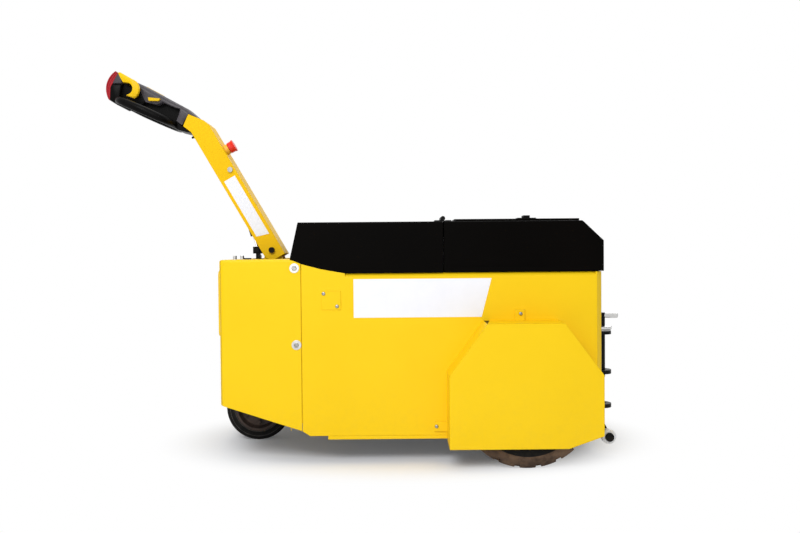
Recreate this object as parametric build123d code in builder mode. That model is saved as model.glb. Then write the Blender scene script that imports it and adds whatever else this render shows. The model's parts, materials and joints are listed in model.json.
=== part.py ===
from build123d import *
from math import cos, hypot, radians, sin
import os

os.makedirs("parts", exist_ok=True)

# An electric tow tractor steered by a tiller. Millimetres, x to the hitch, z up,
# the origin on the floor under the middle of the machine's outer box.

# Outer sizes of the bodywork
nose_x = -397.0             # front face of the nose
body_length = 1063.0        # from there to the back of the bodywork
nose_length = 227.0         # from there to the joint with the side panels
lid_length = 440.0          # from the lid's hinge to the back
panel_half = 294.0          # outer face of the side panels from the centre plane
fender_depth = 100.0        # how far the fenders stand out of the panels
deck_z = 566.0              # top of the nose
waist_drop = 40.0           # from there down to the top edge of the side panels
cover_height = 142.0        # black covers, above that edge
floor_low_z = 65.0          # underside of the floor plate

# Sheet and plate thicknesses, gaps and fits
sheet = 4.0
cover_sheet = 3.0
plate = 10.0
seam_gap = 1.5
running = 0.3               # radial room of shafts and pins in their holes
past = 10.0                 # how far a cut runs past the metal
lap = 1.0                   # how far fused forms run into each other

# Wheels
drive_r = 186.0
drive_width = 104.0
drive_setback = 222.0       # drive axle ahead of the back
tyre_side_room = 13.0       # between a drive tyre and its fender
wheel_room = 12.0           # round the drive tyres
front_r = 100.0
front_width = 60.0
front_tyre_depth = 28.0
front_setback = 57.0        # steering axis behind the nose's front

# Tiller
pivot_back = 50.0           # tiller pivot behind the steering axis
pivot_rise = 27.0           # and above the deck
arm_tilt = radians(60.0)    # above the floor, leaning out over the nose
arm_half_depth = 29.5
arm_half_width = 44.0
arm_sheet = 4.0
arm_bend = 431.0            # along the arm, where its upper face bends over to the head
head_tilt = radians(29.5)
head_along = arm_bend + 29.0            # top of the head where it leaves the arm
head_out = 17.3

seam_x = nose_x + nose_length
rear_x = nose_x + body_length
lid_seam_x = rear_x - lid_length
waist_z = deck_z - waist_drop
cover_z = waist_z + cover_height
panel_low_z = floor_low_z + plate
fender_half = panel_half + fender_depth
through = fender_half + past            # half the width of a cut right across
drive_x = rear_x - drive_setback
drive_y = fender_half - sheet - tyre_side_room - drive_width / 2
front_x = nose_x + front_setback
pivot_x = front_x + pivot_back
pivot_z = deck_z + pivot_rise

# The edge where covers meet panels drops from the nose to the waist in two bends:
# (behind the seam, below the deck)
shoulder_steps = [(-30.0, 0.0), (4.0, 14.0), (54.0, 27.5), (123.0, waist_drop)]
shoulder = [(seam_x + back, deck_z - drop) for back, drop in shoulder_steps]

sides = {"left": 1, "right": -1}


def side_face(points, y):
    """Closed outline in the side view, standing at y and facing -Y."""
    with BuildSketch(Plane.XZ.offset(-y)) as face:
        with BuildLine():
            Polyline(*points, close=True)
        make_face()
    return face.sketch


def plan_face(points, z):
    """Closed outline in the plan view, lying at height z and facing up."""
    with BuildSketch(Plane.XY.offset(z)) as face:
        with BuildLine():
            Polyline(*points, close=True)
        make_face()
    return face.sketch


def wheel_face(points, x, y, z):
    """Closed outline of (across, radius) points, to be turned about a wheel's axle."""
    with BuildSketch(Plane(origin=(x, y, z), x_dir=(0, 1, 0), z_dir=(1, 0, 0))) as face:
        with BuildLine():
            Polyline(*points, close=True)
        make_face()
    return face.sketch


def axle(x, z):
    return Axis((x, 0, z), (0, 1, 0))


def cut_across(points):
    """Cut an outline of the side view through the whole machine."""
    extrude(side_face(points, through), amount=2 * through, mode=Mode.SUBTRACT)


def block(x_span, y_span, z_span, mode=Mode.ADD):
    """Box between three (low, high) pairs."""
    middle = [(low + high) / 2 for low, high in (x_span, y_span, z_span)]
    size = [high - low for low, high in (x_span, y_span, z_span)]
    with Locations(tuple(middle)):
        Box(*size, mode=mode)


def upright(x, y, z_span, radius, mode=Mode.ADD):
    """Cylinder along z."""
    with Locations((x, y, sum(z_span) / 2)):
        Cylinder(radius, z_span[1] - z_span[0], mode=mode)


def crossbar(x, z, y_span, radius, mode=Mode.ADD):
    """Cylinder along y."""
    with Locations((x, sum(y_span) / 2, z)):
        Cylinder(radius, y_span[1] - y_span[0], rotation=(90, 0, 0), mode=mode)


def both_sides(span):
    """A (low, high) pair of y distances, and its mirror image."""
    return [span, (-span[1], -span[0])]


def about(middle, half):
    return (middle - half, middle + half)


def arm_point(along, out):
    """Side view point at a distance along the arm from its pivot, and out from its middle."""
    return (
        pivot_x - along * cos(arm_tilt) + out * sin(arm_tilt),
        pivot_z + along * sin(arm_tilt) + out * cos(arm_tilt),
    )


head_x, head_z = arm_point(head_along, head_out)


def head_point(along, out):
    """Side view point at a distance along the head from the arm's end, and up from its top."""
    return (
        head_x - along * cos(head_tilt) + out * sin(head_tilt),
        head_z + along * sin(head_tilt) + out * cos(head_tilt),
    )


def head_points(table):
    return [head_point(along, out) for along, out in table]


def save(builder, name):
    builder.part.label = name
    export_step(builder.part, f"parts/{name}.step")


# Chassis: floor, rails, the welded front frame and the rear plate

bulkhead_back = 72.0        # front frame's bulkhead behind the nose's seam
floor_front_x = seam_x + bulkhead_back
rear_thick = 12.0
rear_plate_x = rear_x - rear_thick
arch_r = drive_r + wheel_room
rail_inset = 48.0           # outer face of a rail from the panel's outside
rail_thick = 12.0
rail_span = (panel_half - rail_inset - rail_thick, panel_half - rail_inset)
rail_rise = 149.0           # above the drive axle
rail_top = drive_r + rail_rise
axle_tube_r = 38.0

with BuildPart() as floor_plate:
    block((floor_front_x, rear_plate_x), (-panel_half, panel_half), (floor_low_z, panel_low_z))
    for span in both_sides((rail_span[1], panel_half)):
        block((drive_x - arch_r, rear_plate_x), span, (floor_low_z, panel_low_z), Mode.SUBTRACT)
save(floor_plate, "floor_plate")

for side, sign in sides.items():
    rail_sides = sorted(sign * edge for edge in rail_span)
    with BuildPart() as rail:
        block((floor_front_x + plate, rear_plate_x), rail_sides, (panel_low_z, rail_top))
        crossbar(drive_x, drive_r, rail_sides, axle_tube_r + running, Mode.SUBTRACT)
    save(rail, f"rail_{side}")

shelf_room = 12.0           # behind the nose's front
shelf_front_x = nose_x + shelf_room
shelf_half = 130.0
lower_shelf_half = 110.0
shelf_drop = 18.0           # top of the upper shelf under the deck
shelf_span = (deck_z - shelf_drop - plate, deck_z - shelf_drop)
lower_shelf_room = 38.0     # above the front wheel
lower_shelf_z = 2 * front_r + lower_shelf_room
lower_shelf_span = (lower_shelf_z, lower_shelf_z + plate)
web_half = 90.0             # outside of the two webs between the shelves
web_back = 55.0             # their front edge behind the steering axis
bulkhead_inset = 9.0
bulkhead_drop = 11.0
bulkhead_half = panel_half - bulkhead_inset
bulkhead_top = waist_z - bulkhead_drop
column_r = 30.0
head_tube_r = 42.0

with BuildPart() as front_frame:
    bulkhead_sides = (-bulkhead_half, bulkhead_half)
    block((floor_front_x, floor_front_x + plate), bulkhead_sides, (panel_low_z, bulkhead_top))
    block((shelf_front_x, floor_front_x), (-shelf_half, shelf_half), shelf_span)
    block((shelf_front_x, floor_front_x), (-lower_shelf_half, lower_shelf_half), lower_shelf_span)
    for span in both_sides((web_half - plate, web_half)):
        block((front_x + web_back, floor_front_x), span, (lower_shelf_span[1], shelf_span[0]))
    tube_span = (lower_shelf_span[0], shelf_span[1])
    upright(front_x, 0, tube_span, head_tube_r)
    upright(front_x, 0, tube_span, column_r + running, Mode.SUBTRACT)
save(front_frame, "front_frame")

corner_bevel = 16.0         # the side panels' rear corner turns in by this much
rear_half = panel_half - corner_bevel - seam_gap

with BuildPart() as back_plate:
    block((rear_plate_x, rear_x), (-rear_half, rear_half), (floor_low_z, waist_z))
save(back_plate, "rear_plate")


# Bodywork: nose, front hatch, side panels and fenders

nose_low_z = 163.0          # lower edge of the nose at its front
nose_heel = 14.0            # and at the seam, above the panels' lower edge
nose_heel_z = panel_low_z + nose_heel
nose_corner_r = 14.0
deck_edge_r = 7.0
arch_half = 120.0           # opening in the nose for the front wheel
arch_room = 32.0            # above the front wheel
arch_top = 2 * front_r + arch_room
deck_rim = 2.0              # left of the deck ahead of its opening for the tiller
deck_hole_back = 128.0      # end of that opening behind the steering axis
deck_hole_x = (nose_x + sheet + deck_rim, front_x + deck_hole_back)
deck_hole_half = 118.0
hatch_thick = 12.0
hatch_inset = 44.0
hatch_half = panel_half - hatch_inset
hatch_drop = 28.0
hatch_height = 192.0
hatch_z = (deck_z - hatch_drop - hatch_height, deck_z - hatch_drop)
hatch_corner_r = 18.0
hatch_edge = 3.0

with BuildPart() as nose_cover:
    block((nose_x, seam_x), (-panel_half, panel_half), (floor_low_z, deck_z))
    fillet(nose_cover.edges().filter_by(Axis.Z).group_by(Axis.X)[0], nose_corner_r)
    top_edges = nose_cover.faces().sort_by(Axis.Z)[-1].edges()
    fillet(top_edges.sort_by(Axis.X)[:-1], deck_edge_r)
    inside = panel_half - sheet
    room_z = (floor_low_z - past, deck_z - sheet)
    block((nose_x + sheet, seam_x + past), (-inside, inside), room_z, Mode.SUBTRACT)
    cut_across([(nose_x - past, nose_low_z), (nose_x, nose_low_z), (seam_x, nose_heel_z),
                (seam_x + past, nose_heel_z), (seam_x + past, room_z[0]), (nose_x - past, room_z[0])])
    cut_across([shoulder[0], shoulder[1], (shoulder[1][0], deck_z + past), (shoulder[0][0], deck_z + past)])
    block((nose_x - past, nose_x + past), (-arch_half, arch_half), (front_r, arch_top), Mode.SUBTRACT)
    block(deck_hole_x, (-deck_hole_half, deck_hole_half), (deck_z - 2 * past, deck_z + past), Mode.SUBTRACT)
save(nose_cover, "nose_cover")

with BuildPart() as nose_hatch:
    block((nose_x - hatch_thick, nose_x), (-hatch_half, hatch_half), hatch_z)
    fillet(nose_hatch.edges().filter_by(Axis.X), hatch_corner_r)
    chamfer(nose_hatch.faces().sort_by(Axis.X)[0].edges(), hatch_edge)
save(nose_hatch, "nose_hatch")

lip = 8.0                   # the panels' top edge leans in by this much
lip_height = 10.0
lip_z = waist_z - lip_height
toe = 22.0                  # the panels' lower edge rises to the nose over this length
toe_x = seam_x + toe
strap = 30.0                # half of the strip behind the seam that the nose is bolted to
strap_room = (21.0, 31.0)   # above the nose's heel, and under the deck
strap_z = (nose_heel_z + strap_room[0], deck_z - strap_room[1])

for side, sign in sides.items():
    outer = sign * panel_half
    inner = sign * (panel_half - sheet)
    turned_in = sign * (panel_half - corner_bevel)
    bevel_x = rear_x - corner_bevel
    lip_end = bevel_x - sheet
    panel_x = seam_x + seam_gap
    with BuildPart() as panel:
        wall = [(panel_x, outer), (bevel_x, outer), (rear_x, turned_in), (rear_x - sheet, turned_in),
                (bevel_x - sheet / 2, inner), (panel_x, inner)]
        extrude(plan_face(wall, panel_low_z), amount=deck_z - panel_low_z)
        cut_across([*shoulder, (shoulder[3][0], lip_z), (lip_end, lip_z), (lip_end, waist_z),
                    (rear_x + past, waist_z), (rear_x + past, deck_z + past),
                    (shoulder[0][0], deck_z + past)])
        cut_across([(seam_x - past, nose_heel_z), (seam_x, nose_heel_z), (toe_x, panel_low_z),
                    (toe_x, panel_low_z - past), (seam_x - past, panel_low_z - past)])
        with BuildSketch(Plane.YZ.offset(shoulder[3][0])):
            with BuildLine():
                Polyline((outer, lip_z), (outer - sign * lip, waist_z), (inner - sign * lip, waist_z),
                         (inner, lip_z), close=True)
            make_face()
        extrude(amount=lip_end - shoulder[3][0])
        block(about(seam_x, strap), sorted((inner, inner - sign * sheet)), strap_z)
        reach = sorted((outer + sign * past, inner - sign * past))
        crossbar(drive_x, drive_r, reach, arch_r, Mode.SUBTRACT)
        block(about(drive_x, arch_r), reach, (panel_low_z - past, drive_r), Mode.SUBTRACT)
    save(panel, f"side_panel_{side}")

# Fenders, drawn round the drive wheel: room beyond the tyre and shares of its radius
fender_room = {"front": 25.0, "back": 13.0, "top": 20.0}
fender_front_x = drive_x - drive_r - fender_room["front"]
fender_back_x = drive_x + drive_r + fender_room["back"]
fender_top_z = 2 * drive_r + fender_room["top"]
fender_bevel_z = 1.365 * drive_r
fender_flat_x = (drive_x - 0.586 * drive_r, drive_x + 0.516 * drive_r)
fender_low_z = 59.0
fender_heel_rise = 33.0
fender_heel = (drive_x + 0.565 * drive_r, fender_low_z + fender_heel_rise)
fender_outline = [
    (fender_front_x, fender_low_z), (fender_front_x, fender_bevel_z), (fender_flat_x[0], fender_top_z),
    (fender_flat_x[1], fender_top_z), (fender_back_x, fender_bevel_z), (fender_back_x, fender_heel[1]),
    (fender_heel[0], fender_low_z),
]
tab_half = 14.0             # the two tabs that fasten a fender to its panel
tab_height = 30.0
top_tab_ahead = 9.0
top_tab_x = drive_x - top_tab_ahead
side_tab_rise = 41.0
side_tab_z = fender_low_z + side_tab_rise
side_tab_length = 36.0

for side, sign in sides.items():
    far = max(sign * panel_half, sign * fender_half)
    hollow = sorted((sign * panel_half, sign * (fender_half - sheet)))
    tab = sorted((sign * panel_half, sign * (panel_half + sheet)))
    with BuildPart() as fender:
        extrude(side_face(fender_outline, far), amount=fender_depth)
        with BuildSketch(Plane.XZ.offset(-hollow[1])):
            with BuildLine():
                Polyline(*fender_outline, close=True)
            make_face()
            offset(amount=-sheet, mode=Mode.REPLACE)
        extrude(amount=fender_depth - sheet, mode=Mode.SUBTRACT)
        under_z = fender_low_z - past
        under = [(fender_front_x + sheet, under_z), (fender_front_x + sheet, fender_low_z + 2 * sheet),
                 (fender_heel[0], fender_low_z + 2 * sheet), (fender_back_x - sheet, fender_heel[1] + sheet),
                 (fender_back_x - sheet, under_z)]
        extrude(side_face(under, hollow[1]), amount=fender_depth - sheet, mode=Mode.SUBTRACT)
        block(about(top_tab_x, tab_half), tab, (fender_top_z - sheet, fender_top_z + tab_height))
        block((fender_front_x - side_tab_length, fender_front_x + sheet), tab, about(side_tab_z, tab_half))
    save(fender, f"fender_{side}")


# Covers over the machinery: a fixed front one and a hinged lid

cover_lean = 23.0           # the front cover's face leans back by this much
cover_edge_r = 5.0
lid_overhang = 3.0
lid_bevel = 56.0            # the lid's top rear edge is cut off by about this much
lid_field = 6.5             # raised field on the lid
field_inset = {"front": 30.5, "back": 4.0, "side": 22.0}
cover_ends = lid_seam_x - seam_gap
lid_x = lid_seam_x + seam_gap
lid_low_z = waist_z + seam_gap
lid_back_x = rear_x + lid_overhang
cover_inside = panel_half - cover_sheet
cover_under = cover_z - cover_sheet
lid_bevel_x = lid_back_x - 1.05 * lid_bevel
bevel_inset = 0.42 * cover_sheet        # along a face, where it turns into the bevel

with BuildPart() as front_cover:
    top_x = shoulder[0][0] + cover_lean
    outline = [(top_x, cover_z), (cover_ends, cover_z), (cover_ends, waist_z), *reversed(shoulder)]
    extrude(side_face(outline, panel_half), amount=2 * panel_half)
    fillet(front_cover.edges().filter_by(Axis.X).group_by(Axis.Z)[-1], cover_edge_r)
    front_inside = shoulder[0][0] + cover_sheet
    hollow = [(front_inside, waist_z - past), (front_inside, deck_z), (top_x + cover_sheet, cover_under),
              (cover_ends + past, cover_under), (cover_ends + past, waist_z - past)]
    extrude(side_face(hollow, cover_inside), amount=2 * cover_inside, mode=Mode.SUBTRACT)
save(front_cover, "front_cover")

with BuildPart() as lid:
    outline = [(lid_x, lid_low_z), (lid_x, cover_z), (lid_bevel_x, cover_z),
               (lid_back_x, cover_z - lid_bevel), (lid_back_x, lid_low_z)]
    extrude(side_face(outline, panel_half), amount=2 * panel_half)
    fillet(lid.edges().filter_by(Axis.X).group_by(Axis.Z)[-1], cover_edge_r)
    back_inside = lid_back_x - cover_sheet
    hollow = [(lid_x - past, waist_z - past), (lid_x - past, cover_under),
              (lid_bevel_x - bevel_inset, cover_under), (back_inside, cover_z - lid_bevel - bevel_inset),
              (back_inside, waist_z - past)]
    extrude(side_face(hollow, cover_inside), amount=2 * cover_inside, mode=Mode.SUBTRACT)
    field_half = panel_half - field_inset["side"]
    field_x = (lid_x + field_inset["front"], lid_bevel_x - field_inset["back"])
    block(field_x, (-field_half, field_half), (cover_z, cover_z + lid_field))
save(lid, "lid")

hinge_pin_r = 3.5
knuckle_r = 6.5
knuckle_gap = 1.0
middle_knuckle = 12.0       # half length of the moving knuckle
hinge_half = 35.0
hinge_inset = 59.0
hinge_y = panel_half - hinge_inset
leaf = 23.0
leaf_thick = 4.0
knuckle_lift = 2.5
hinge_z = cover_z + knuckle_r + knuckle_lift
leaf_z = (cover_z, cover_z + leaf_thick)

with BuildPart() as hinge_fixed:
    for sign in sides.values():
        middle = sign * hinge_y
        block((lid_seam_x - leaf, lid_seam_x - knuckle_r + seam_gap), about(middle, hinge_half), leaf_z)
        for step in (-1, 1):
            knuckle = sorted((middle + step * (middle_knuckle + knuckle_gap), middle + step * hinge_half))
            crossbar(lid_seam_x, hinge_z, knuckle, knuckle_r)
            block((lid_seam_x - knuckle_r, lid_seam_x), knuckle, (cover_z + running, hinge_z))
        crossbar(lid_seam_x, hinge_z, about(middle, hinge_half), hinge_pin_r)
save(hinge_fixed, "hinge_fixed")

with BuildPart() as hinge_moving:
    for sign in sides.values():
        middle = sign * hinge_y
        knuckle = about(middle, middle_knuckle)
        block((lid_seam_x + knuckle_r + knuckle_gap, lid_seam_x + leaf), about(middle, hinge_half), leaf_z)
        block((lid_seam_x, lid_seam_x + leaf), knuckle, (cover_z + seam_gap, leaf_z[1]))
        crossbar(lid_seam_x, hinge_z, knuckle, knuckle_r)
        crossbar(lid_seam_x, hinge_z, knuckle, hinge_pin_r + running, Mode.SUBTRACT)
save(hinge_moving, "hinge_moving")

latch_back = 237.0          # behind the hinge
latch_x = lid_seam_x + latch_back
latch_base = (26.0, 20.0)   # half sizes along x and y
latch_knob_r = 12.0
latch_grip = (9.0, 17.0)
latch_rises = [0.0, 3.0, 5.5, 10.0]     # base, knob and grip, above the lid's field
latch_steps = [cover_z + lid_field + rise for rise in latch_rises]

with BuildPart() as lid_latch:
    for sign in sides.values():
        middle = sign * hinge_y
        block(about(latch_x, latch_base[0]), about(middle, latch_base[1]), latch_steps[0:2])
        upright(latch_x, middle, latch_steps[1:3], latch_knob_r)
        block(about(latch_x, latch_grip[0]), about(middle, latch_grip[1]), latch_steps[2:4])
save(lid_latch, "lid_latch")


# Heavy things inside: battery and drive axle

tray_inset = (16.0, 4.0)    # from the lid's hinge and from the rear plate
tray_x = (lid_seam_x + tray_inset[0], rear_plate_x - tray_inset[1])
battery_inset = (10.0, 22.0)            # from the tray's ends
battery_x = (tray_x[0] + battery_inset[0], tray_x[1] - battery_inset[1])
battery_side_room = 22.0
battery_half = rail_span[0] - battery_side_room
battery_top_room = 38.0
battery_top = cover_z - battery_top_room
cell_gap = 3.0              # half the gap between the battery's four blocks
cell_base = 20.0
cell_low = rail_top + plate + cell_base

with BuildPart() as battery_tray:
    block(tray_x, (-rail_span[1], rail_span[1]), (rail_top, rail_top + plate))
save(battery_tray, "battery_tray")

with BuildPart() as battery_pack:
    block(battery_x, (-battery_half, battery_half), (rail_top + plate, battery_top))
    groove_z = (cell_low, battery_top + past)
    block(about(sum(battery_x) / 2, cell_gap), about(0, battery_half + past), groove_z, Mode.SUBTRACT)
    block((battery_x[0] - past, battery_x[1] + past), about(0, cell_gap), groove_z, Mode.SUBTRACT)
save(battery_pack, "battery_pack")

hub_back = 57.0             # from the middle of a drive tyre in to its hub's face
hub_gap = 6.0
half_shaft_r = 18.0
shaft_inset = 25.0          # half shafts end this far short of the tyres' middle
half_shaft_end = drive_y - shaft_inset
case_room = 23.0            # between gear case and floor plate
gear_case = drive_r - panel_low_z - case_room       # half size, seen from the side
gear_case_half = 96.0
gear_case_r = 22.0
motor_r = 82.0
motor_length = 250.0
motor_rise = 6.0
motor_z = drive_r + motor_rise
motor_lap = 9.0

with BuildPart() as transaxle:
    block(about(drive_x, gear_case), (-gear_case_half, gear_case_half), about(drive_r, gear_case))
    fillet(transaxle.edges().filter_by(Axis.Y), gear_case_r)
    tube_end = drive_y - hub_back - hub_gap
    crossbar(drive_x, drive_r, (-tube_end, tube_end), axle_tube_r)
    crossbar(drive_x, drive_r, (-half_shaft_end, half_shaft_end), half_shaft_r)
    with Locations((drive_x - gear_case + motor_lap - motor_length / 2, 0, motor_z)):
        Cylinder(motor_r, motor_length, rotation=(0, 90, 0))
save(transaxle, "transaxle")


# Drive wheels: rubber tyres on dished rims

bead_r = 104.0
bead_half = 46.0
flange_rise = 8.0
flange_thick = 4.0
rim_thick = 10.0
flange_room = 1.2           # beside the tyre's bead
flange_r = bead_r + flange_rise
flange_half = bead_half + flange_room
rim_half = flange_half + flange_thick
well_r = bead_r - rim_thick
crown_half = 40.0
shoulder_drop = 22.0
shoulder_r = drive_r - shoulder_drop
dish = (4.0, -5.0)          # outer and inner face of the rim's disc, from the tyre's middle
hub_boss_r = (52.0, 40.0)
cap_r = (32.0, 28.0)
cap_out = 22.0

for side, sign in sides.items():
    centre = sign * drive_y
    half = drive_width / 2
    spin = axle(drive_x, drive_r)
    with BuildPart() as tyre:
        outer_half = [(crown_half, drive_r), (half, shoulder_r), (bead_half, bead_r)]
        section = outer_half + [(-across, radius) for across, radius in reversed(outer_half)]
        revolve(wheel_face(section, drive_x, centre, drive_r), axis=spin)
    save(tyre, f"drive_tyre_{side}")

    with BuildPart() as rim:
        seat_r = bead_r - running
        section = [(-rim_half, well_r), (-rim_half, flange_r), (-flange_half, flange_r),
                   (-flange_half, seat_r), (flange_half, seat_r), (flange_half, flange_r),
                   (rim_half, flange_r), (rim_half, well_r)]
        revolve(wheel_face(section, drive_x, centre, drive_r), axis=spin)
        disc = [(dish[0] * sign, 0), (dish[0] * sign, well_r + lap), (dish[1] * sign, well_r + lap),
                (dish[1] * sign, hub_boss_r[0]), (-hub_back * sign, hub_boss_r[1]), (-hub_back * sign, 0)]
        revolve(wheel_face(disc, drive_x, centre, drive_r), axis=spin)
        cap = [(dish[0] * sign, 0), (dish[0] * sign, cap_r[0]), (cap_out * sign, cap_r[1]),
               (cap_out * sign, 0)]
        revolve(wheel_face(cap, drive_x, centre, drive_r), axis=spin)
        bore = sorted((sign * (drive_y - hub_back - past), sign * (half_shaft_end + lap)))
        crossbar(drive_x, drive_r, bore, half_shaft_r + running, Mode.SUBTRACT)
    save(rim, f"drive_rim_{side}")


# Hitch: three jaw plates on a back plate, a drop pin, and two small rollers

pin_back = 74.5
pin_x = rear_x + pin_back
pin_r = 11.0
pin_room = 2.0
jaw_hole_r = pin_r + pin_room
jaw_tip_r = 29.5
jaw_root_half = 60.0
hitch_thick = 16.0
hitch_half = 75.0
hitch_z = (72.0, 350.0)
hitch_face_x = rear_x + hitch_thick
jaw_spans = {"top": (320.5, 330.5), "middle": (196.0, 208.0), "bottom": (90.0, 102.0)}

with BuildPart() as hitch:
    block((rear_x, hitch_face_x), (-hitch_half, hitch_half), hitch_z)
    for span in jaw_spans.values():
        tongue = [(rear_x + lap, -jaw_root_half), (hitch_face_x, -jaw_root_half), (pin_x, -jaw_tip_r),
                  (pin_x, jaw_tip_r), (hitch_face_x, jaw_root_half), (rear_x + lap, jaw_root_half)]
        extrude(plan_face(tongue, span[0]), amount=span[1] - span[0])
        upright(pin_x, 0, span, jaw_tip_r)
    for span in jaw_spans.values():
        upright(pin_x, 0, span, jaw_hole_r, Mode.SUBTRACT)
save(hitch, "hitch")

pin_collar_r = 28.0
pin_collar_height = 5.0
collar_span = (jaw_spans["top"][1], jaw_spans["top"][1] + pin_collar_height)
with BuildPart() as pin_collar:
    upright(pin_x, 0, collar_span, pin_collar_r)
    upright(pin_x, 0, collar_span, jaw_hole_r, Mode.SUBTRACT)
save(pin_collar, "pin_collar")

handle_rise = 43.0
handle_z = collar_span[1] + handle_rise
handle_r = 8.7
handle_end_r = 4.0
handle_length = 51.5
pin_reach = 15.0            # below the middle jaw
pin_tip_z = jaw_spans["middle"][0] - pin_reach
pin_point = 4.0
pin_flange_r = 31.0
pin_flange = 9.0
with BuildPart() as tow_pin:
    upright(pin_x, 0, (pin_tip_z, handle_z + handle_r), pin_r)
    chamfer(tow_pin.faces().sort_by(Axis.Z)[0].edges(), pin_point)
    upright(pin_x, 0, (collar_span[1] + running, collar_span[1] + running + pin_flange), pin_flange_r)
save(tow_pin, "tow_pin")

with BuildPart() as pin_handle:
    with Locations((pin_x + handle_length / 2, 0, handle_z)):
        Cylinder(handle_r, handle_length, rotation=(0, 90, 0))
    fillet(pin_handle.edges().sort_by(Axis.X)[-1], handle_end_r)
    upright(pin_x, 0, about(handle_z, handle_r + past), pin_r + running, Mode.SUBTRACT)
save(pin_handle, "pin_handle")

roller_back = 25.0
roller_x = rear_x + roller_back
roller_z = 58.0
roller_r = 20.5
roller_inset = 40.0
roller_y = panel_half - roller_inset
roller_half = 11.0
roller_edge = 3.0
roller_pin_r = 5.0
cheek = 5.0
cheek_gap = 2.0
ear_r = 11.0                # round of a cheek about the roller's pin
axle_cap_r = 12.4
axle_cap = 4.0
foot_half = 22.0
foot_rise = (18.0, 58.0)    # above the roller's pin
foot_z = (roller_z + foot_rise[0], roller_z + foot_rise[1])
for side, sign in sides.items():
    centre = sign * roller_y
    with BuildPart() as bracket:
        block((rear_x, rear_x + cheek), about(centre, foot_half), foot_z)
        cheek_y = [centre - sign * (roller_half + cheek_gap + step) for step in (0, cheek)]
        ear = [(rear_x, foot_z[0]), (rear_x, foot_z[1]), (rear_x + cheek, foot_z[1]),
               (roller_x + ear_r, roller_z), (roller_x - ear_r, roller_z)]
        extrude(side_face(ear, max(cheek_y)), amount=cheek)
        crossbar(roller_x, roller_z, sorted(cheek_y), ear_r)
        cap_y = [centre + sign * (roller_half + seam_gap + step) for step in (0, axle_cap)]
        crossbar(roller_x, roller_z, sorted(cap_y), axle_cap_r)
        crossbar(roller_x, roller_z, sorted((cheek_y[1], cap_y[1])), roller_pin_r)
    save(bracket, f"roller_bracket_{side}")
    with BuildPart() as roller:
        crossbar(roller_x, roller_z, about(centre, roller_half), roller_r)
        chamfer(roller.edges().filter_by(GeomType.CIRCLE), roller_edge)
        crossbar(roller_x, roller_z, about(centre, roller_half), roller_pin_r + running, Mode.SUBTRACT)
    save(roller, f"roller_{side}")


# Steered front wheel

base_drop = 14.0            # the tiller's base plate starts below the deck
base_thick = 8.0
base_span = (deck_z - base_drop, deck_z - base_drop + base_thick)
fork_room = 6.0             # beside and above the front wheel
fork_thick = 12.0
fork_inner = front_width / 2 + fork_room
fork_outer = fork_inner + fork_thick
fork_half = 26.0
crown_half_x = 36.0
crown_thick = 16.0
crown_span = (2 * front_r + fork_room, 2 * front_r + fork_room + crown_thick)
front_axle_r = 10.0
axle_head_r = 16.0
axle_head = 8.0

with BuildPart() as steer_column:
    upright(front_x, 0, (crown_span[1], base_span[0]), column_r)
    block(about(front_x, crown_half_x), (-fork_outer, fork_outer), crown_span)
    for span in both_sides((fork_inner, fork_outer)):
        block(about(front_x, fork_half), span, (front_r, crown_span[0]))
        crossbar(front_x, front_r, span, fork_half)
    crossbar(front_x, front_r, (-fork_outer, fork_outer), front_axle_r + running, Mode.SUBTRACT)
save(steer_column, "steer_column")

with BuildPart() as front_axle:
    crossbar(front_x, front_r, about(0, fork_outer + axle_head), front_axle_r)
    for span in both_sides((fork_outer, fork_outer + axle_head)):
        crossbar(front_x, front_r, span, axle_head_r)
save(front_axle, "front_axle")

front_hub_r = front_r - front_tyre_depth
tread_edge = 8.0
with BuildPart() as front_tyre:
    half = front_width / 2
    section = [(-half, front_hub_r), (-half, front_r - tread_edge), (-half + tread_edge, front_r),
               (half - tread_edge, front_r), (half, front_r - tread_edge), (half, front_hub_r)]
    revolve(wheel_face(section, front_x, 0, front_r), axis=axle(front_x, front_r))
save(front_tyre, "front_tyre")

hub_half = front_width / 2
hub_wall = 8.0
hub_web = 12.0              # half the thickness of the web between rim and boss
web_step = 6.0              # the web is this much thicker at the rim
boss_out = 2.0
boss_half = hub_half + boss_out
boss_r = (34.0, 30.0)       # where the boss leaves the web, and at its face
with BuildPart() as front_hub:
    rim_r = front_hub_r - running
    bore_r = front_axle_r + running
    outer_half = [(hub_half, rim_r), (hub_half, front_hub_r - hub_wall),
                  (hub_web, front_hub_r - hub_wall - web_step), (hub_web, boss_r[0]),
                  (boss_half, boss_r[1]), (boss_half, bore_r)]
    section = outer_half + [(-across, radius) for across, radius in reversed(outer_half)]
    revolve(wheel_face(section, front_x, 0, front_r), axis=axle(front_x, front_r))
save(front_hub, "front_hub")


# Tiller base, turning with the front wheel

base_half = 36.0
base_end = 40.0             # behind the pivot
lug_span = (24.0, 34.0)
lug_r = 20.0
lug_feet = (-28.0, 34.0)    # ahead of and behind the pivot
pivot_r = 7.0
pivot_head_r = 9.0
pivot_head = (0.5, 8.0)     # from the arm's sides

with BuildPart() as tiller_base:
    block((front_x, pivot_x + base_end), (-base_half, base_half), base_span)
    upright(front_x, 0, base_span, base_half)
    for span in both_sides(lug_span):
        lug = [(pivot_x + lug_feet[0], base_span[1]), (pivot_x - lug_r, pivot_z), (pivot_x + lug_r, pivot_z),
               (pivot_x + lug_feet[1], base_span[1])]
        extrude(side_face(lug, span[1]), amount=span[1] - span[0])
        crossbar(pivot_x, pivot_z, span, lug_r)
    crossbar(pivot_x, pivot_z, about(0, lug_span[1] + past), pivot_r + running, Mode.SUBTRACT)
save(tiller_base, "tiller_base")

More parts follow.
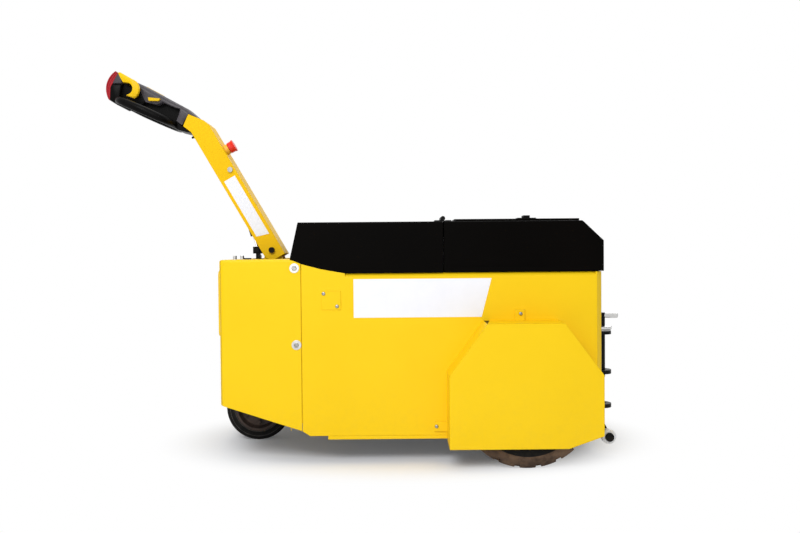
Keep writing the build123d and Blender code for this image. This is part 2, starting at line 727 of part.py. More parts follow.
with BuildPart() as tiller_pivot:
    crossbar(pivot_x, pivot_z, about(0, arm_half_width + pivot_head[1]), pivot_r)
    for span in both_sides((arm_half_width + pivot_head[0], arm_half_width + pivot_head[1])):
        crossbar(pivot_x, pivot_z, span, pivot_head_r)
save(tiller_pivot, "tiller_pivot")

strut_x = front_x
strut_z = pivot_z
strut_pin_r = 4.0
slot_half = 9.0
fork_half_y = 17.0
post_r = 17.0
post_foot = 7.0
post_neck = 4.5
post_half = 13.5
post_head = (10.5, 11.0)    # below and above the strut's eye
post_pin_r = 7.0
post_pin = 6.0
with BuildPart() as strut_post:
    foot_span = (base_span[1], base_span[1] + post_foot)
    upright(strut_x, 0, foot_span, post_r)
    for span in both_sides((slot_half, fork_half_y)):
        block(about(strut_x, post_neck), span, (foot_span[1], strut_z))
        block(about(strut_x, post_half), span, (strut_z - post_head[0], strut_z + post_head[1]))
    for span in both_sides((fork_half_y, fork_half_y + post_pin)):
        crossbar(strut_x, strut_z, span, post_pin_r)
save(strut_post, "strut_post")


# Tiller arm, a folded channel open underneath, rounded about its pivot

bend_step = (20.0, 22.0)    # along past the bend, and how far out it still is there
lower_bend = 8.0            # the lower edges bend this far past the upper one
end_steps = [(36.0, -41.0), (60.0, -8.5)]           # lower and upper corner, past the bend
hollow_end = (53.0, -10.0)              # the channel's hollow stops here, past the bend
hollow_foot = 19.0                      # and runs out of its open side here
arm_end = [arm_point(arm_bend + along, out) for along, out in end_steps]
strut_along = 278.0
strut_out = 15.7
strut_top = arm_point(strut_along, strut_out)
with BuildPart() as tiller_arm:
    outline = [arm_point(-arm_half_depth, 0), arm_point(-arm_half_depth, arm_half_depth),
               arm_point(arm_bend, arm_half_depth), arm_point(arm_bend + bend_step[0], bend_step[1]),
               *reversed(arm_end), arm_point(arm_bend + lower_bend, -arm_half_depth),
               arm_point(0, -arm_half_depth)]
    extrude(side_face(outline, arm_half_width), amount=2 * arm_half_width)
    crossbar(pivot_x, pivot_z, (-arm_half_width, arm_half_width), arm_half_depth)
    web = arm_half_depth - arm_sheet
    below = -2 * arm_half_depth
    hollow = [arm_point(below, web), arm_point(arm_bend - arm_sheet / 2, web),
              arm_point(arm_bend + bend_step[0] - 0.75 * arm_sheet, bend_step[1] - arm_sheet),
              arm_point(arm_bend + hollow_end[0], hollow_end[1]), arm_point(arm_bend + hollow_foot, below),
              arm_point(below, below)]
    inner = arm_half_width - arm_sheet
    extrude(side_face(hollow, inner), amount=2 * inner, mode=Mode.SUBTRACT)
    reach = about(0, arm_half_width + past)
    crossbar(pivot_x, pivot_z, reach, pivot_r + running, Mode.SUBTRACT)
    crossbar(*strut_top, reach, strut_pin_r + running, Mode.SUBTRACT)
save(tiller_arm, "tiller_arm")

bolt_out = 6.0
with BuildPart() as strut_bolt:
    crossbar(*strut_top, about(0, arm_half_width + bolt_out), strut_pin_r)
    for span in both_sides((arm_half_width, arm_half_width + bolt_out)):
        crossbar(*strut_top, span, 2 * strut_pin_r)
save(strut_bolt, "strut_bolt")

strut_length = hypot(strut_top[0] - strut_x, strut_top[1] - strut_z)
strut_dir = ((strut_x - strut_top[0]) / strut_length, (strut_z - strut_top[1]) / strut_length)
strut_plane = Plane(
    origin=(strut_top[0], 0, strut_top[1]), x_dir=(0, 1, 0), z_dir=(strut_dir[0], 0, strut_dir[1])
)
barrel_r = 9.5
barrel_bore_r = 5.2
rod_r = 4.5
eye_r = 9.0
eye_half = 8.0
barrel_start = 6.0
bore_start = 20.0
rod_shown = 48.0            # from the barrel's end to the rod's eye
barrel_end = strut_length - rod_shown
rod_start = 70.0
with BuildPart() as strut_cylinder:
    with BuildSketch(strut_plane.offset(barrel_start)):
        Circle(barrel_r)
    extrude(amount=barrel_end - barrel_start)
    with BuildSketch(strut_plane.offset(bore_start)):
        Circle(barrel_bore_r)
    extrude(amount=barrel_end, mode=Mode.SUBTRACT)
    crossbar(*strut_top, about(0, eye_half), eye_r)
    crossbar(*strut_top, about(0, eye_half + past), strut_pin_r + running, Mode.SUBTRACT)
save(strut_cylinder, "strut_cylinder")

rod_eye_r = 8.5
rod_eye_half = 7.0
with BuildPart() as strut_rod:
    with BuildSketch(strut_plane.offset(rod_start)):
        Circle(rod_r)
    extrude(amount=strut_length - rod_start)
    crossbar(strut_x, strut_z, about(0, rod_eye_half), rod_eye_r)
    crossbar(strut_x, strut_z, about(0, rod_eye_half), strut_pin_r + running, Mode.SUBTRACT)
save(strut_rod, "strut_rod")


# Emergency stop on the arm's upper face

stop_along = 346.0
stop_collar_r = 17.0
stop_collar_height = 11.0
stop_collar_taper = 6.0     # degrees
stop_stem = (9.0, 1.0)      # radius and height
stop_head = (17.5, 19.5)    # radius at its foot, and height
stop_head_flare = 1.8       # how much wider its outer end is
stop_head_edge = 3.0
stop_base = arm_point(stop_along, arm_half_depth)
stop_plane = Plane(
    origin=(stop_base[0], 0, stop_base[1]), x_dir=(0, 1, 0), z_dir=(sin(arm_tilt), 0, cos(arm_tilt))
)
with BuildPart() as stop_collar:
    with BuildSketch(stop_plane):
        Circle(stop_collar_r)
    extrude(amount=stop_collar_height, taper=stop_collar_taper)
save(stop_collar, "stop_collar")

with BuildPart() as stop_button:
    with BuildSketch(stop_plane.offset(stop_collar_height)):
        Circle(stop_stem[0])
    extrude(amount=stop_stem[1])
    for rise, radius in ((0, stop_head[0]), (stop_head[1], stop_head[0] + stop_head_flare)):
        with BuildSketch(stop_plane.offset(stop_collar_height + stop_stem[1] + rise)):
            Circle(radius)
    loft()
    fillet(stop_button.faces().sort_by(Axis(stop_plane.origin, stop_plane.z_dir))[-1].edges(), stop_head_edge)
save(stop_button, "stop_button")


# Tiller head: an upper shell over a stem, hand loops, end button, thumb paddles and rocker.
# Outlines are (along, up) from the top of the head where it leaves the arm.

shell_half = 46.0
shell_edge_r = 14.0
shell_top = [(50.0, 8.0), (200.0, 6.0), (276.0, 0.0)]
# the shell's lower edge over the hand opening, from the arm outwards
shell_under = [(62.0, -42.0), (66.0, -4.0), (86.0, -9.0), (126.0, -12.5), (137.0, -27.0), (172.0, -38.0),
               (192.0, -24.0), (214.0, -9.0), (262.0, -9.0)]
cheek_under = [(258.0, -24.5), (284.0, -38.5)]          # lower edge of the shell's wide end
lip_along, lip_out = 3.0, 12.85         # the shell's lip over the arm's upper face
shell_lip = arm_point(head_along + lip_along, lip_out)
end_half = 58.0             # the wide end, and its face behind the end button
end_face = [(284.0, -2.0), (284.0, -50.0), (266.0, -87.0)]
head_length = 310.0
head_depth = 95.0
head_plane = Plane(
    origin=(head_x, 0, head_z), x_dir=(0, 1, 0), z_dir=(-cos(head_tilt), 0, sin(head_tilt))
)
with BuildPart() as head_body:
    outline = [*arm_end, shell_lip, *head_points(shell_top), *reversed(head_points(shell_under))]
    extrude(side_face(outline, shell_half), amount=2 * shell_half)
    with BuildSketch(head_plane):
        with Locations((0, head_depth / 2 - shell_top[0][1])):
            RectangleRounded(2 * shell_half, head_depth, shell_edge_r)
    extrude(amount=head_length, both=True, mode=Mode.INTERSECT)
    wide_end = head_points([shell_top[-1], end_face[0], cheek_under[1], cheek_under[0], shell_under[-1]])
    extrude(side_face(wide_end, end_half), amount=2 * end_half)
save(head_body, "head_body")

loop_drop = 49.5            # hand loops below the head's top line, at the arm
loop_tilt = head_tilt - radians(5.7)
loop_origin = head_point(0, -loop_drop)
loop_plane = Plane(
    origin=(loop_origin[0], 0, loop_origin[1]),
    x_dir=(-cos(loop_tilt), 0, sin(loop_tilt)),
    z_dir=(sin(loop_tilt), 0, cos(loop_tilt)),
)
loop_path = [(62.0, 26.0), (82.0, 94.0), (150.0, 112.0), (222.0, 98.0), (252.0, 40.0)]
loop_bend_r = 24.0
grip_r = 12.0
stem_half = 22.0
stem_under = [(246.0, -72.0), (124.0, -57.0), (62.0, -50.0)]
neck_half = 40.0
neck = [(20.0, -58.0), (8.0, -52.0), (37.0, -47.0), (62.0, -42.5), (72.0, -46.0), (78.0, -54.0),
        (74.0, -64.0), (44.0, -64.0)]
housing_half = 44.0
housing_under = [(250.0, -62.0), (190.0, -60.0)]
end_heel = (236.0, -88.5)
with BuildPart() as head_grip:
    for sign in sides.values():
        with BuildLine(loop_plane) as path:
            FilletPolyline(*[(along, sign * across) for along, across in loop_path], radius=loop_bend_r)
        with BuildSketch(path.line ^ 0):
            Circle(grip_r)
        sweep(path=path.line)
    stem = head_points([*shell_under, cheek_under[0], *stem_under])
    extrude(side_face(stem, stem_half), amount=2 * stem_half)
    housing = head_points([*shell_under[5:], *cheek_under[:1], *housing_under])
    extrude(side_face(housing, housing_half), amount=2 * housing_half)
    end_block = head_points([*reversed(cheek_under), end_heel, *reversed(end_face[1:])])
    extrude(side_face(end_block, end_half), amount=2 * end_half)
    extrude(side_face(head_points(neck), neck_half), amount=2 * neck_half)
save(head_grip, "head_grip")

button_half = 54.0
button_low = (272.5, -85.5)
button_out = (297.6, -56.0)
button_top = (295.0, 1.0)
with BuildPart() as belly_button:
    with BuildSketch(Plane.XZ.offset(-button_half)):
        with BuildLine():
            Polyline(*head_points([button_top, *end_face, button_low]))
            ThreePointArc(*head_points([button_low, button_out, button_top]))
        make_face()
    extrude(amount=2 * button_half)
save(belly_button, "belly_button")

paddle_span = (60.0, 72.0)
paddle_boss_at = (204.0, -12.0)
paddle_boss = head_point(*paddle_boss_at)
paddle_boss_r = 6.0
paddle_top = [(278.0, -1.0), (273.5, 3.5), (224.0, 3.2)]
paddle_outside = (190.5, -14.0)
paddle_tip = [(194.0, -46.5), (222.6, -49.4), (221.0, -44.5)]
paddle_inside = (216.0, -24.0)
paddle_under = [(237.0, -12.9), (251.5, -19.0), (265.6, -10.5), (278.0, -1.0)]
with BuildPart() as paddles:
    for span in both_sides(paddle_span):
        with BuildSketch(Plane.XZ.offset(-span[1])):
            with BuildLine():
                Polyline(*head_points(paddle_top))
                ThreePointArc(*head_points([paddle_top[-1], paddle_outside, paddle_tip[0]]))
                Polyline(*head_points(paddle_tip))
                ThreePointArc(*head_points([paddle_tip[-1], paddle_inside, paddle_under[0]]))
                Polyline(*head_points(paddle_under))
            make_face()
        extrude(amount=span[1] - span[0])
    for span in both_sides((shell_half, sum(paddle_span) / 2)):
        crossbar(*paddle_boss, span, paddle_boss_r)
save(paddles, "paddles")

rocker_out = 8.0
rocker_outline = [(135.0, -7.0), (135.0, -15.0), (162.0, -30.0), (169.0, -22.0)]
with BuildPart() as rocker:
    for span in both_sides((shell_half, shell_half + rocker_out)):
        extrude(side_face(head_points(rocker_outline), span[1]), amount=rocker_out)
save(rocker, "rocker")
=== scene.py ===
import json
from math import cos, pi, radians, sin, sqrt

import bmesh
import bpy
from mathutils import Matrix, Vector


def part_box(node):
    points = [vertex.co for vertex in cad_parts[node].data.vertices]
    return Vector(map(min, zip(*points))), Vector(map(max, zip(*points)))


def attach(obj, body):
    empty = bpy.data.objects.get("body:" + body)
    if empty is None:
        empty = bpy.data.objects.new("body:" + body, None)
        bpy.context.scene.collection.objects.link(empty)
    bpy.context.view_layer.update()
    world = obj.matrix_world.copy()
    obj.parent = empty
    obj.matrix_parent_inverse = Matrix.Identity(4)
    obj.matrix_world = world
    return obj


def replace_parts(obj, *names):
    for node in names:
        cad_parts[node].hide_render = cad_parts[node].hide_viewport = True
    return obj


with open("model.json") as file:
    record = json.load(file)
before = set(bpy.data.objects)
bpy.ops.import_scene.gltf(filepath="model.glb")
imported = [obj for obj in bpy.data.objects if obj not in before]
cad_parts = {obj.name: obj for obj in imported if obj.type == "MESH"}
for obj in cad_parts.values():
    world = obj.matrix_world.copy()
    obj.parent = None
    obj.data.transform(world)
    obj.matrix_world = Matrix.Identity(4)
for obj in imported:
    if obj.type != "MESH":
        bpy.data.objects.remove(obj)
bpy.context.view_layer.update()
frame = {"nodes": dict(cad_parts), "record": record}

# Sizes are metres, in the frame of the model: x to the hitch, z up, the floor at 0.

MM = 0.001
SIDES = (1, -1)
NAMED_SIDES = ((1, "left"), (-1, "right"))

# Camera, as the photograph was taken
CAMERA_PLACE = Vector((0.100, -2.385, 0.587))
CAMERA_YAW = radians(0.138)
CAMERA_PITCH = radians(-1.179)
CAMERA_ROLL = radians(-0.471)
CAMERA_LENS = 34.05         # mm
CAMERA_SENSOR = 36.0        # width in mm

# Bodywork, from the frame
PANEL_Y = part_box("side_panel_left")[1].y
FENDER_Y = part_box("fender_left")[1].y
NOSE_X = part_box("nose_cover")[0].x
DECK_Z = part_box("nose_cover")[1].z
HITCH_FACE_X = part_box("hitch")[0].x + 16 * MM

# Thickness of the front hatch, a fender's screw tab and a side plate
HATCH = 12 * MM
FENDER_TAB = 4 * MM
SIDE_PLATE = 1.2 * MM

# Tiller arm: pivot, lean and section
PIVOT = (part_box("tiller_pivot")[0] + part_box("tiller_pivot")[1]) / 2
ARM_TILT = radians(60.0)
ARM_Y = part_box("tiller_arm")[1].y
ARM_HALF_DEPTH = 29.5       # mm
HEAD_ROOT = Vector((-0.505, 0.0, 1.000))
HEAD_TILT = radians(29.5)


# Mesh helpers

def arm_point(along, out, y=0.0):
    """Point at mm along the arm from its pivot, out from its middle line, and y in metres."""
    x = PIVOT.x - along * MM * cos(ARM_TILT) + out * MM * sin(ARM_TILT)
    z = PIVOT.z + along * MM * sin(ARM_TILT) + out * MM * cos(ARM_TILT)
    return Vector((x, y, z))


def head_point(along, out, y=0.0):
    """Point at mm along the head from the arm's end, up from its top line, and across in mm."""
    x = HEAD_ROOT.x - along * MM * cos(HEAD_TILT) + out * MM * sin(HEAD_TILT)
    z = HEAD_ROOT.z + along * MM * sin(HEAD_TILT) + out * MM * cos(HEAD_TILT)
    return Vector((x, y * MM, z))


def place(origin, outward):
    """Matrix whose z axis points outward from origin."""
    turn = Vector((0, 0, 1)).rotation_difference(Vector(outward)).to_matrix().to_4x4()
    return Matrix.Translation(origin) @ turn


class Shape:
    """Vertices and faces gathered from several simple forms, made into one piece."""

    def __init__(self):
        self.points = []
        self.faces = []

    def add(self, points, faces, matrix=None):
        start = len(self.points)
        for point in points:
            self.points.append(matrix @ Vector(point) if matrix else Vector(point))
        for face in faces:
            self.faces.append([start + i for i in face])

    def loft(self, rings, matrix=None, capped=True, closed=False):
        """Skin over rings of equal length; capped closes the ends, closed joins last to first."""
        count = len(rings[0])
        points = [point for ring in rings for point in ring]
        faces = []
        spans = len(rings) if closed else len(rings) - 1
        for k in range(spans):
            a = k * count
            b = (k + 1) % len(rings) * count
            for i in range(count):
                j = (i + 1) % count
                faces.append([a + i, a + j, b + j, b + i])
        if capped and not closed:
            faces.append(list(reversed(range(count))))
            faces.append([(len(rings) - 1) * count + i for i in range(count)])
        self.add(points, faces, matrix)

    def lathe(self, profile, matrix, steps):
        """(height, radius) points turned about local z."""
        rings = []
        for height, radius in profile:
            turns = [2 * pi * i / steps for i in range(steps)]
            rings.append([(radius * cos(t), radius * sin(t), height) for t in turns])
        self.loft(rings, matrix)

    def tube(self, line, radii, across, steps):
        """Round bar along a line; radii are (across, upright) pairs, across a direction near level."""
        rings = []
        for k, spot in enumerate(line):
            ahead = (line[min(k + 1, len(line) - 1)] - line[max(k - 1, 0)]).normalized()
            up = across.cross(ahead).normalized()
            level = ahead.cross(up)
            wide, tall = radii[k]
            turns = [2 * pi * i / steps for i in range(steps)]
            rings.append([spot + level * (wide * cos(t)) + up * (tall * sin(t)) for t in turns])
        self.loft(rings)

    def make(self, name, material, body, smooth_angle=30.0):
        mesh = bpy.data.meshes.new(name)
        mesh.from_pydata(self.points, [], self.faces)
        mesh.validate()
        mesh.shade_smooth()
        mesh.set_sharp_from_angle(angle=radians(smooth_angle))
        mesh.materials.append(material)
        piece = bpy.data.objects.new(name, mesh)
        bpy.context.scene.collection.objects.link(piece)
        turn_faces_out(mesh)
        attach(piece, body)
        return piece


def turn_faces_out(mesh):
    work = bmesh.new()
    work.from_mesh(mesh)
    bmesh.ops.recalc_face_normals(work, faces=work.faces)
    work.to_mesh(mesh)
    work.free()


def smooth_line(points, per_span):
    """Curve through the points, per_span steps between neighbours."""
    ends = [2 * points[0] - points[1], *points, 2 * points[-1] - points[-2]]
    line = []
    for a, b, c, d in zip(ends, ends[1:], ends[2:], ends[3:]):
        for step in range(per_span):
            t = step / per_span
            line.append(0.5 * (2 * b + (c - a) * t + (2 * a - 5 * b + 4 * c - d) * t * t
                               + (3 * b - a - 3 * c + d) * t ** 3))
    return line + [points[-1]]


def between(a, b, t):
    return a + (b - a) * t


def rounded(outline, radius):
    """Outline with its corners drawn round, in four steps each."""
    steps = 4
    corners = [Vector(point) for point in outline]
    line = []
    for before, here, after in zip(corners[-1:] + corners[:-1], corners, corners[1:] + corners[:1]):
        reach = min(radius, 0.45 * (before - here).length, 0.45 * (after - here).length)
        start = here + (before - here).normalized() * reach
        finish = here + (after - here).normalized() * reach
        for step in range(steps + 1):
            t = step / steps
            line.append(start.lerp(here, t).lerp(here.lerp(finish, t), t))
    return line


def head_block(shape, outline, half, edge):
    """Block across the head from (along, up) points, drawn in by edge at both sides."""
    middle = sum(outline, Vector((0, 0))) / len(outline)
    reach = max((point - middle).length for point in outline)
    sections = []
    for turn in (pi / 2, pi / 3, pi / 6, 0.0):
        sections.append((half - edge + edge * sin(turn), 1 - edge * (1 - cos(turn)) / reach))
    sections += [(-across, share) for across, share in reversed(sections)]
    rings = []
    for across, share in sections:
        rings.append([head_point(*(middle + (point - middle) * share), across) for point in outline])
    shape.loft(rings)


# Camera

def set_camera():
    reach = cos(CAMERA_PITCH)
    forward = Vector((sin(CAMERA_YAW) * reach, cos(CAMERA_YAW) * reach, sin(CAMERA_PITCH)))
    level = Vector((cos(CAMERA_YAW), -sin(CAMERA_YAW), 0))
    upright = level.cross(forward)
    right = cos(CAMERA_ROLL) * level + sin(CAMERA_ROLL) * upright
    up = -sin(CAMERA_ROLL) * level + cos(CAMERA_ROLL) * upright
    data = bpy.data.cameras.new("camera")
    data.sensor_width = CAMERA_SENSOR
    data.lens = CAMERA_LENS
    camera = bpy.data.objects.new("camera", data)
    bpy.context.scene.collection.objects.link(camera)
    turn = Matrix((right, up, -forward)).transposed().to_4x4()
    camera.matrix_world = Matrix.Translation(CAMERA_PLACE) @ turn
    bpy.context.scene.camera = camera


# Materials

DUST = (0.22, 0.17, 0.11, 1.0)


class Paint:
    """A material's node tree, with short names for the nodes used here."""

    def __init__(self, name):
        self.material = bpy.data.materials.new(name)
        self.material.use_nodes = True
        self.nodes = self.material.node_tree.nodes
        self.links = self.material.node_tree.links
        self.shader = self.nodes["Principled BSDF"]
        self.where = self.nodes.new("ShaderNodeTexCoord").outputs["Object"]

    def set(self, **values):
        for key, value in values.items():
            self.shader.inputs[key.replace("_", " ")].default_value = value

    def noise(self, scale, detail, roughness=0.55):
        node = self.nodes.new("ShaderNodeTexNoise")
        node.inputs["Scale"].default_value = scale
        node.inputs["Detail"].default_value = detail
        node.inputs["Roughness"].default_value = roughness
        self.links.new(self.where, node.inputs["Vector"])
        return node.outputs["Fac"]

    def ramp(self, source, stops):
        node = self.nodes.new("ShaderNodeValToRGB")
        band = node.color_ramp
        while len(band.elements) < len(stops):
            band.elements.new(0.5)
        for element, (position, colour) in zip(band.elements, stops):
            element.position = position
            element.color = (*colour, 1.0)
        self.links.new(source, node.inputs["Fac"])
        return node.outputs["Color"]

    def between(self, source, low, high):
        node = self.nodes.new("ShaderNodeMapRange")
        node.inputs["To Min"].default_value = low
        node.inputs["To Max"].default_value = high
        self.links.new(source, node.inputs["Value"])
        return node.outputs["Result"]

    def height_band(self, low, high):
        """1 below low, 0 above high, by height over the floor."""
        split = self.nodes.new("ShaderNodeSeparateXYZ")
        self.links.new(self.where, split.inputs["Vector"])
        node = self.nodes.new("ShaderNodeMapRange")
        node.inputs["From Min"].default_value = high
        node.inputs["From Max"].default_value = low
        self.links.new(split.outputs["Z"], node.inputs["Value"])
        return node.outputs["Result"]

    def times(self, a, b):
        node = self.nodes.new("ShaderNodeMath")
        node.operation = "MULTIPLY"
        for slot, value in zip(node.inputs, (a, b)):
            if isinstance(value, float):
                slot.default_value = value
            else:
                self.links.new(value, slot)
        return node.outputs["Value"]

    def mix(self, factor, first, second):
        node = self.nodes.new("ShaderNodeMix")
        node.data_type = "RGBA"
        for key, value in (("Factor", factor), ("A", first), ("B", second)):
            slot = node.inputs[key]
            if isinstance(value, tuple):
                slot.default_value = value
            else:
                self.links.new(value, slot)
        return [out for out in node.outputs if out.type == "RGBA"][0]

    def colour(self, source):
        self.links.new(source, self.shader.inputs["Base Color"])

    def roughness(self, source):
        self.links.new(source, self.shader.inputs["Roughness"])

    def bump(self, height, strength, depth, edge=None):
        node = self.nodes.new("ShaderNodeBump")
        node.inputs["Strength"].default_value = strength
        node.inputs["Distance"].default_value = depth
        self.links.new(height, node.inputs["Height"])
        if edge:
            bevel = self.nodes.new("ShaderNodeBevel")
            bevel.samples = 4
            bevel.inputs["Radius"].default_value = edge
            self.links.new(bevel.outputs["Normal"], node.inputs["Normal"])
        self.links.new(node.outputs["Normal"], self.shader.inputs["Normal"])


def powder_coat(name, light, dark, rough, shine, edge, dust):
    """Powder-coated sheet: orange peel, faint tone changes and a little dust near the floor."""
    paint = Paint(name)
    paint.set(Specular_IOR_Level=shine)
    tone = paint.ramp(paint.noise(3.0, 4.0), [(0.3, dark), (0.7, light)])
    speck = paint.ramp(paint.noise(70.0, 6.0, 0.7), [(0.45, (0, 0, 0)), (0.75, (1, 1, 1))])
    dirt = paint.times(paint.times(paint.height_band(0.03, 0.30), speck), dust)
    paint.colour(paint.mix(dirt, tone, DUST))
    paint.roughness(paint.between(paint.noise(9.0, 5.0), rough - 0.05, rough + 0.09))
    paint.bump(paint.noise(420.0, 2.0), 0.04, 0.0003, edge)
    return paint.material


def rubber(name, light, dark, dust_colour, dust):
    """Matt rubber with patches of dust."""
    paint = Paint(name)
    paint.set(Specular_IOR_Level=0.07)
    tone = paint.ramp(paint.noise(35.0, 5.0), [(0.3, dark), (0.7, light)])
    patch = paint.ramp(paint.noise(14.0, 7.0, 0.7), [(0.40, (0, 0, 0)), (0.72, (1, 1, 1))])
    paint.colour(paint.mix(paint.times(patch, dust), tone, dust_colour))
    paint.roughness(paint.between(paint.noise(60.0, 4.0), 0.50, 0.80))
    paint.bump(paint.noise(300.0, 5.0, 0.7), 0.35, 0.0008, 0.0012)
    return paint.material


def bare_metal(name, light, dark, rough):
    """Plated or polished metal, finely mottled."""
    paint = Paint(name)
    paint.set(Metallic=1.0)
    paint.colour(paint.ramp(paint.noise(90.0, 5.0, 0.6), [(0.3, dark), (0.7, light)]))
    paint.roughness(paint.between(paint.noise(240.0, 4.0, 0.6), rough - 0.08, rough + 0.12))
    paint.bump(paint.noise(500.0, 3.0, 0.6), 0.12, 0.0003, 0.0006)
    return paint.material


def cast_metal(name, light, dark, metal):
    """Rough casting under thin paint or dirt."""
    paint = Paint(name)
    paint.set(Metallic=metal, Specular_IOR_Level=0.25)
    paint.colour(paint.ramp(paint.noise(40.0, 7.0, 0.65), [(0.32, dark), (0.68, light)]))
    paint.roughness(paint.between(paint.noise(55.0, 5.0), 0.42, 0.70))
    paint.bump(paint.noise(260.0, 5.0, 0.7), 0.45, 0.0008, 0.001)
    return paint.material


def moulded(name, light, dark, rough, shine, grain=900.0):
    """Moulded plastic with a fine spark-eroded grain."""
    paint = Paint(name)
    paint.set(Specular_IOR_Level=shine)
    paint.colour(paint.ramp(paint.noise(18.0, 4.0), [(0.3, dark), (0.7, light)]))
    paint.roughness(paint.between(paint.noise(120.0, 4.0), rough - 0.05, rough + 0.10))
    paint.bump(paint.noise(grain, 3.0, 0.7), 0.25, 0.0002, 0.001)
    return paint.material


def vinyl(name):
    """White self-adhesive film, faintly mottled."""
    paint = Paint(name)
    paint.set(Specular_IOR_Level=0.2)
    light = (0.877, 0.891, 0.950)
    dark = (0.852, 0.866, 0.925)
    paint.colour(paint.ramp(paint.noise(25.0, 4.0), [(0.3, dark), (0.7, light)]))
    paint.roughness(paint.between(paint.noise(40.0, 4.0), 0.28, 0.40))
    paint.bump(paint.noise(180.0, 2.0), 0.03, 0.0003)
    return paint.material


# Finishes: name, light and dark tone, then how they shine
yellow = powder_coat("yellow_powder_coat", (0.930, 0.616, 0.008), (0.900, 0.587, 0.006),
                     rough=0.34, shine=0.14, edge=0.0028, dust=0.06)
# the tiller's arm and base get a darker, deeper orange copy of the body's yellow: painted shade for the
# light falling off along the arm, with less shine to keep the key lamp's highlight off it
tiller_shaded_yellow = powder_coat("tiller_shaded_powder_coat", (0.890, 0.545, 0.002), (0.860, 0.515, 0.0015),
                            rough=0.36, shine=0.10, edge=0.0016, dust=0.0)
black = powder_coat("black_powder_coat", (0.0022, 0.0017, 0.0014), (0.0012, 0.0010, 0.0008),
                    rough=0.36, shine=0.02, edge=0.0016, dust=0.0)
satin = powder_coat("satin_black_steel", (0.0070, 0.0068, 0.0066), (0.0038, 0.0037, 0.0036),
                    rough=0.42, shine=0.08, edge=0.0010, dust=0.15)
zinc = bare_metal("zinc_plate", (0.42, 0.41, 0.395), (0.23, 0.225, 0.22), rough=0.24)
bright_zinc = bare_metal("bright_zinc_plate", (0.66, 0.66, 0.65), (0.50, 0.50, 0.49), rough=0.30)
chrome = bare_metal("hard_chrome", (0.86, 0.86, 0.86), (0.78, 0.78, 0.79), rough=0.12)
drive_rubber = rubber("dusty_drive_rubber", (0.115, 0.074, 0.050), (0.045, 0.030, 0.022),
                      dust_colour=(0.27, 0.175, 0.110, 1), dust=0.60)
front_rubber = rubber("front_rubber", (0.010, 0.0095, 0.009), (0.005, 0.0048, 0.0046),
                      dust_colour=(0.055, 0.050, 0.045, 1), dust=0.15)
worn_rubber = rubber("worn_front_rubber", (0.11, 0.105, 0.10), (0.045, 0.043, 0.041),
                     dust_colour=(0.20, 0.18, 0.155, 1), dust=0.30)
wheel_iron = cast_metal("brown_wheel_casting", (0.085, 0.058, 0.046), (0.030, 0.021, 0.018), metal=0.2)
axle_iron = cast_metal("dark_axle_casting", (0.10, 0.10, 0.10), (0.045, 0.045, 0.047), metal=0.6)
lead_grey = cast_metal("lead_terminal", (0.30, 0.30, 0.31), (0.17, 0.17, 0.18), metal=0.8)
battery_case = moulded("battery_case", (0.050, 0.050, 0.054), (0.030, 0.030, 0.032), rough=0.50, shine=0.3)
nylon = moulded("white_nylon", (0.91, 0.91, 0.91), (0.84, 0.84, 0.84), rough=0.35, shine=0.3)
head_grey = moulded("head_grey_shell", (0.064, 0.057, 0.065), (0.045, 0.040, 0.046),
                    rough=0.38, shine=0.25)
head_black = moulded("head_soft_grip", (0.0034, 0.0032, 0.0032), (0.0022, 0.0020, 0.0020),
                     rough=0.31, shine=0.055, grain=1300.0)
control_yellow = moulded("control_yellow", (0.900, 0.575, 0.006), (0.850, 0.520, 0.004),
                         rough=0.34, shine=0.12)
stop_amber = moulded("stop_amber", (0.930, 0.520, 0.060), (0.860, 0.440, 0.030), rough=0.34, shine=0.3)
stop_red = moulded("stop_red", (0.800, 0.034, 0.018), (0.720, 0.024, 0.012), rough=0.28, shine=0.3)
cap_red = moulded("cap_red", (0.400, 0.010, 0.019), (0.330, 0.007, 0.014), rough=0.42, shine=0.2)
label_white = vinyl("blank_label")

SLOT_PAINT = {
    "yellow_paint": yellow,
    "black_cover": black,
    "black_steel": satin,
    "zinc": zinc,
    "chrome_rod": chrome,
    "drive_rubber": drive_rubber,
    "front_rubber": front_rubber,
    "wheel_metal": wheel_iron,
    "axle_casting": axle_iron,
    "battery_case": battery_case,
    "roller_nylon": nylon,
    "head_grey": head_grey,
    "head_black": head_black,
    "control_yellow": control_yellow,
    "stop_red": stop_red,
    "cap_red": cap_red,
}
NODE_PAINT = {"tiller_arm": tiller_shaded_yellow, "tiller_base": tiller_shaded_yellow, "pin_handle": bright_zinc}


def paint_frame():
    """Every CAD node takes the finish of its slot, or one of its own; the tiller's arm and base take a
    darker copy of the yellow, which is painted shade.
    """
    for entry in frame["record"]["subparts"]:
        node = entry["node"]
        for slot in frame["nodes"][node].material_slots:
            slot.material = NODE_PAINT.get(node, SLOT_PAINT[entry["material_slot"]])


# Stage: pale floor, white surroundings and soft lamps

# Ellipse round the wheels, and the shares of it where the floor starts and ends its fade
FOOT_MIDDLE_X = 0.132
FOOT_REACH = (0.66, 0.42)
FADE_START = 0.70
FADE_END = 1.22


def lamp(name, spot, target, size, power):
    data = bpy.data.lights.new(name, "AREA")
    data.shape = "RECTANGLE"
    data.size, data.size_y = size
    data.energy = power
    light = bpy.data.objects.new(name, data)
    bpy.context.scene.collection.objects.link(light)
    aim = (Vector(target) - Vector(spot)).to_track_quat("-Z", "Y").to_matrix().to_4x4()
    light.matrix_world = Matrix.Translation(spot) @ aim


def seen_rays(nodes, links):
    """1 for rays that show the backdrop: straight to the camera, mirrored or through glass."""
    rays = nodes.new("ShaderNodeLightPath")
    seen = rays.outputs["Is Camera Ray"]
    for name in ("Is Glossy Ray", "Is Transmission Ray"):
        node = nodes.new("ShaderNodeMath")
        node.operation = "MAXIMUM"
        links.new(seen, node.inputs[0])
        links.new(rays.outputs[name], node.inputs[1])
        seen = node.outputs["Value"]
    return seen


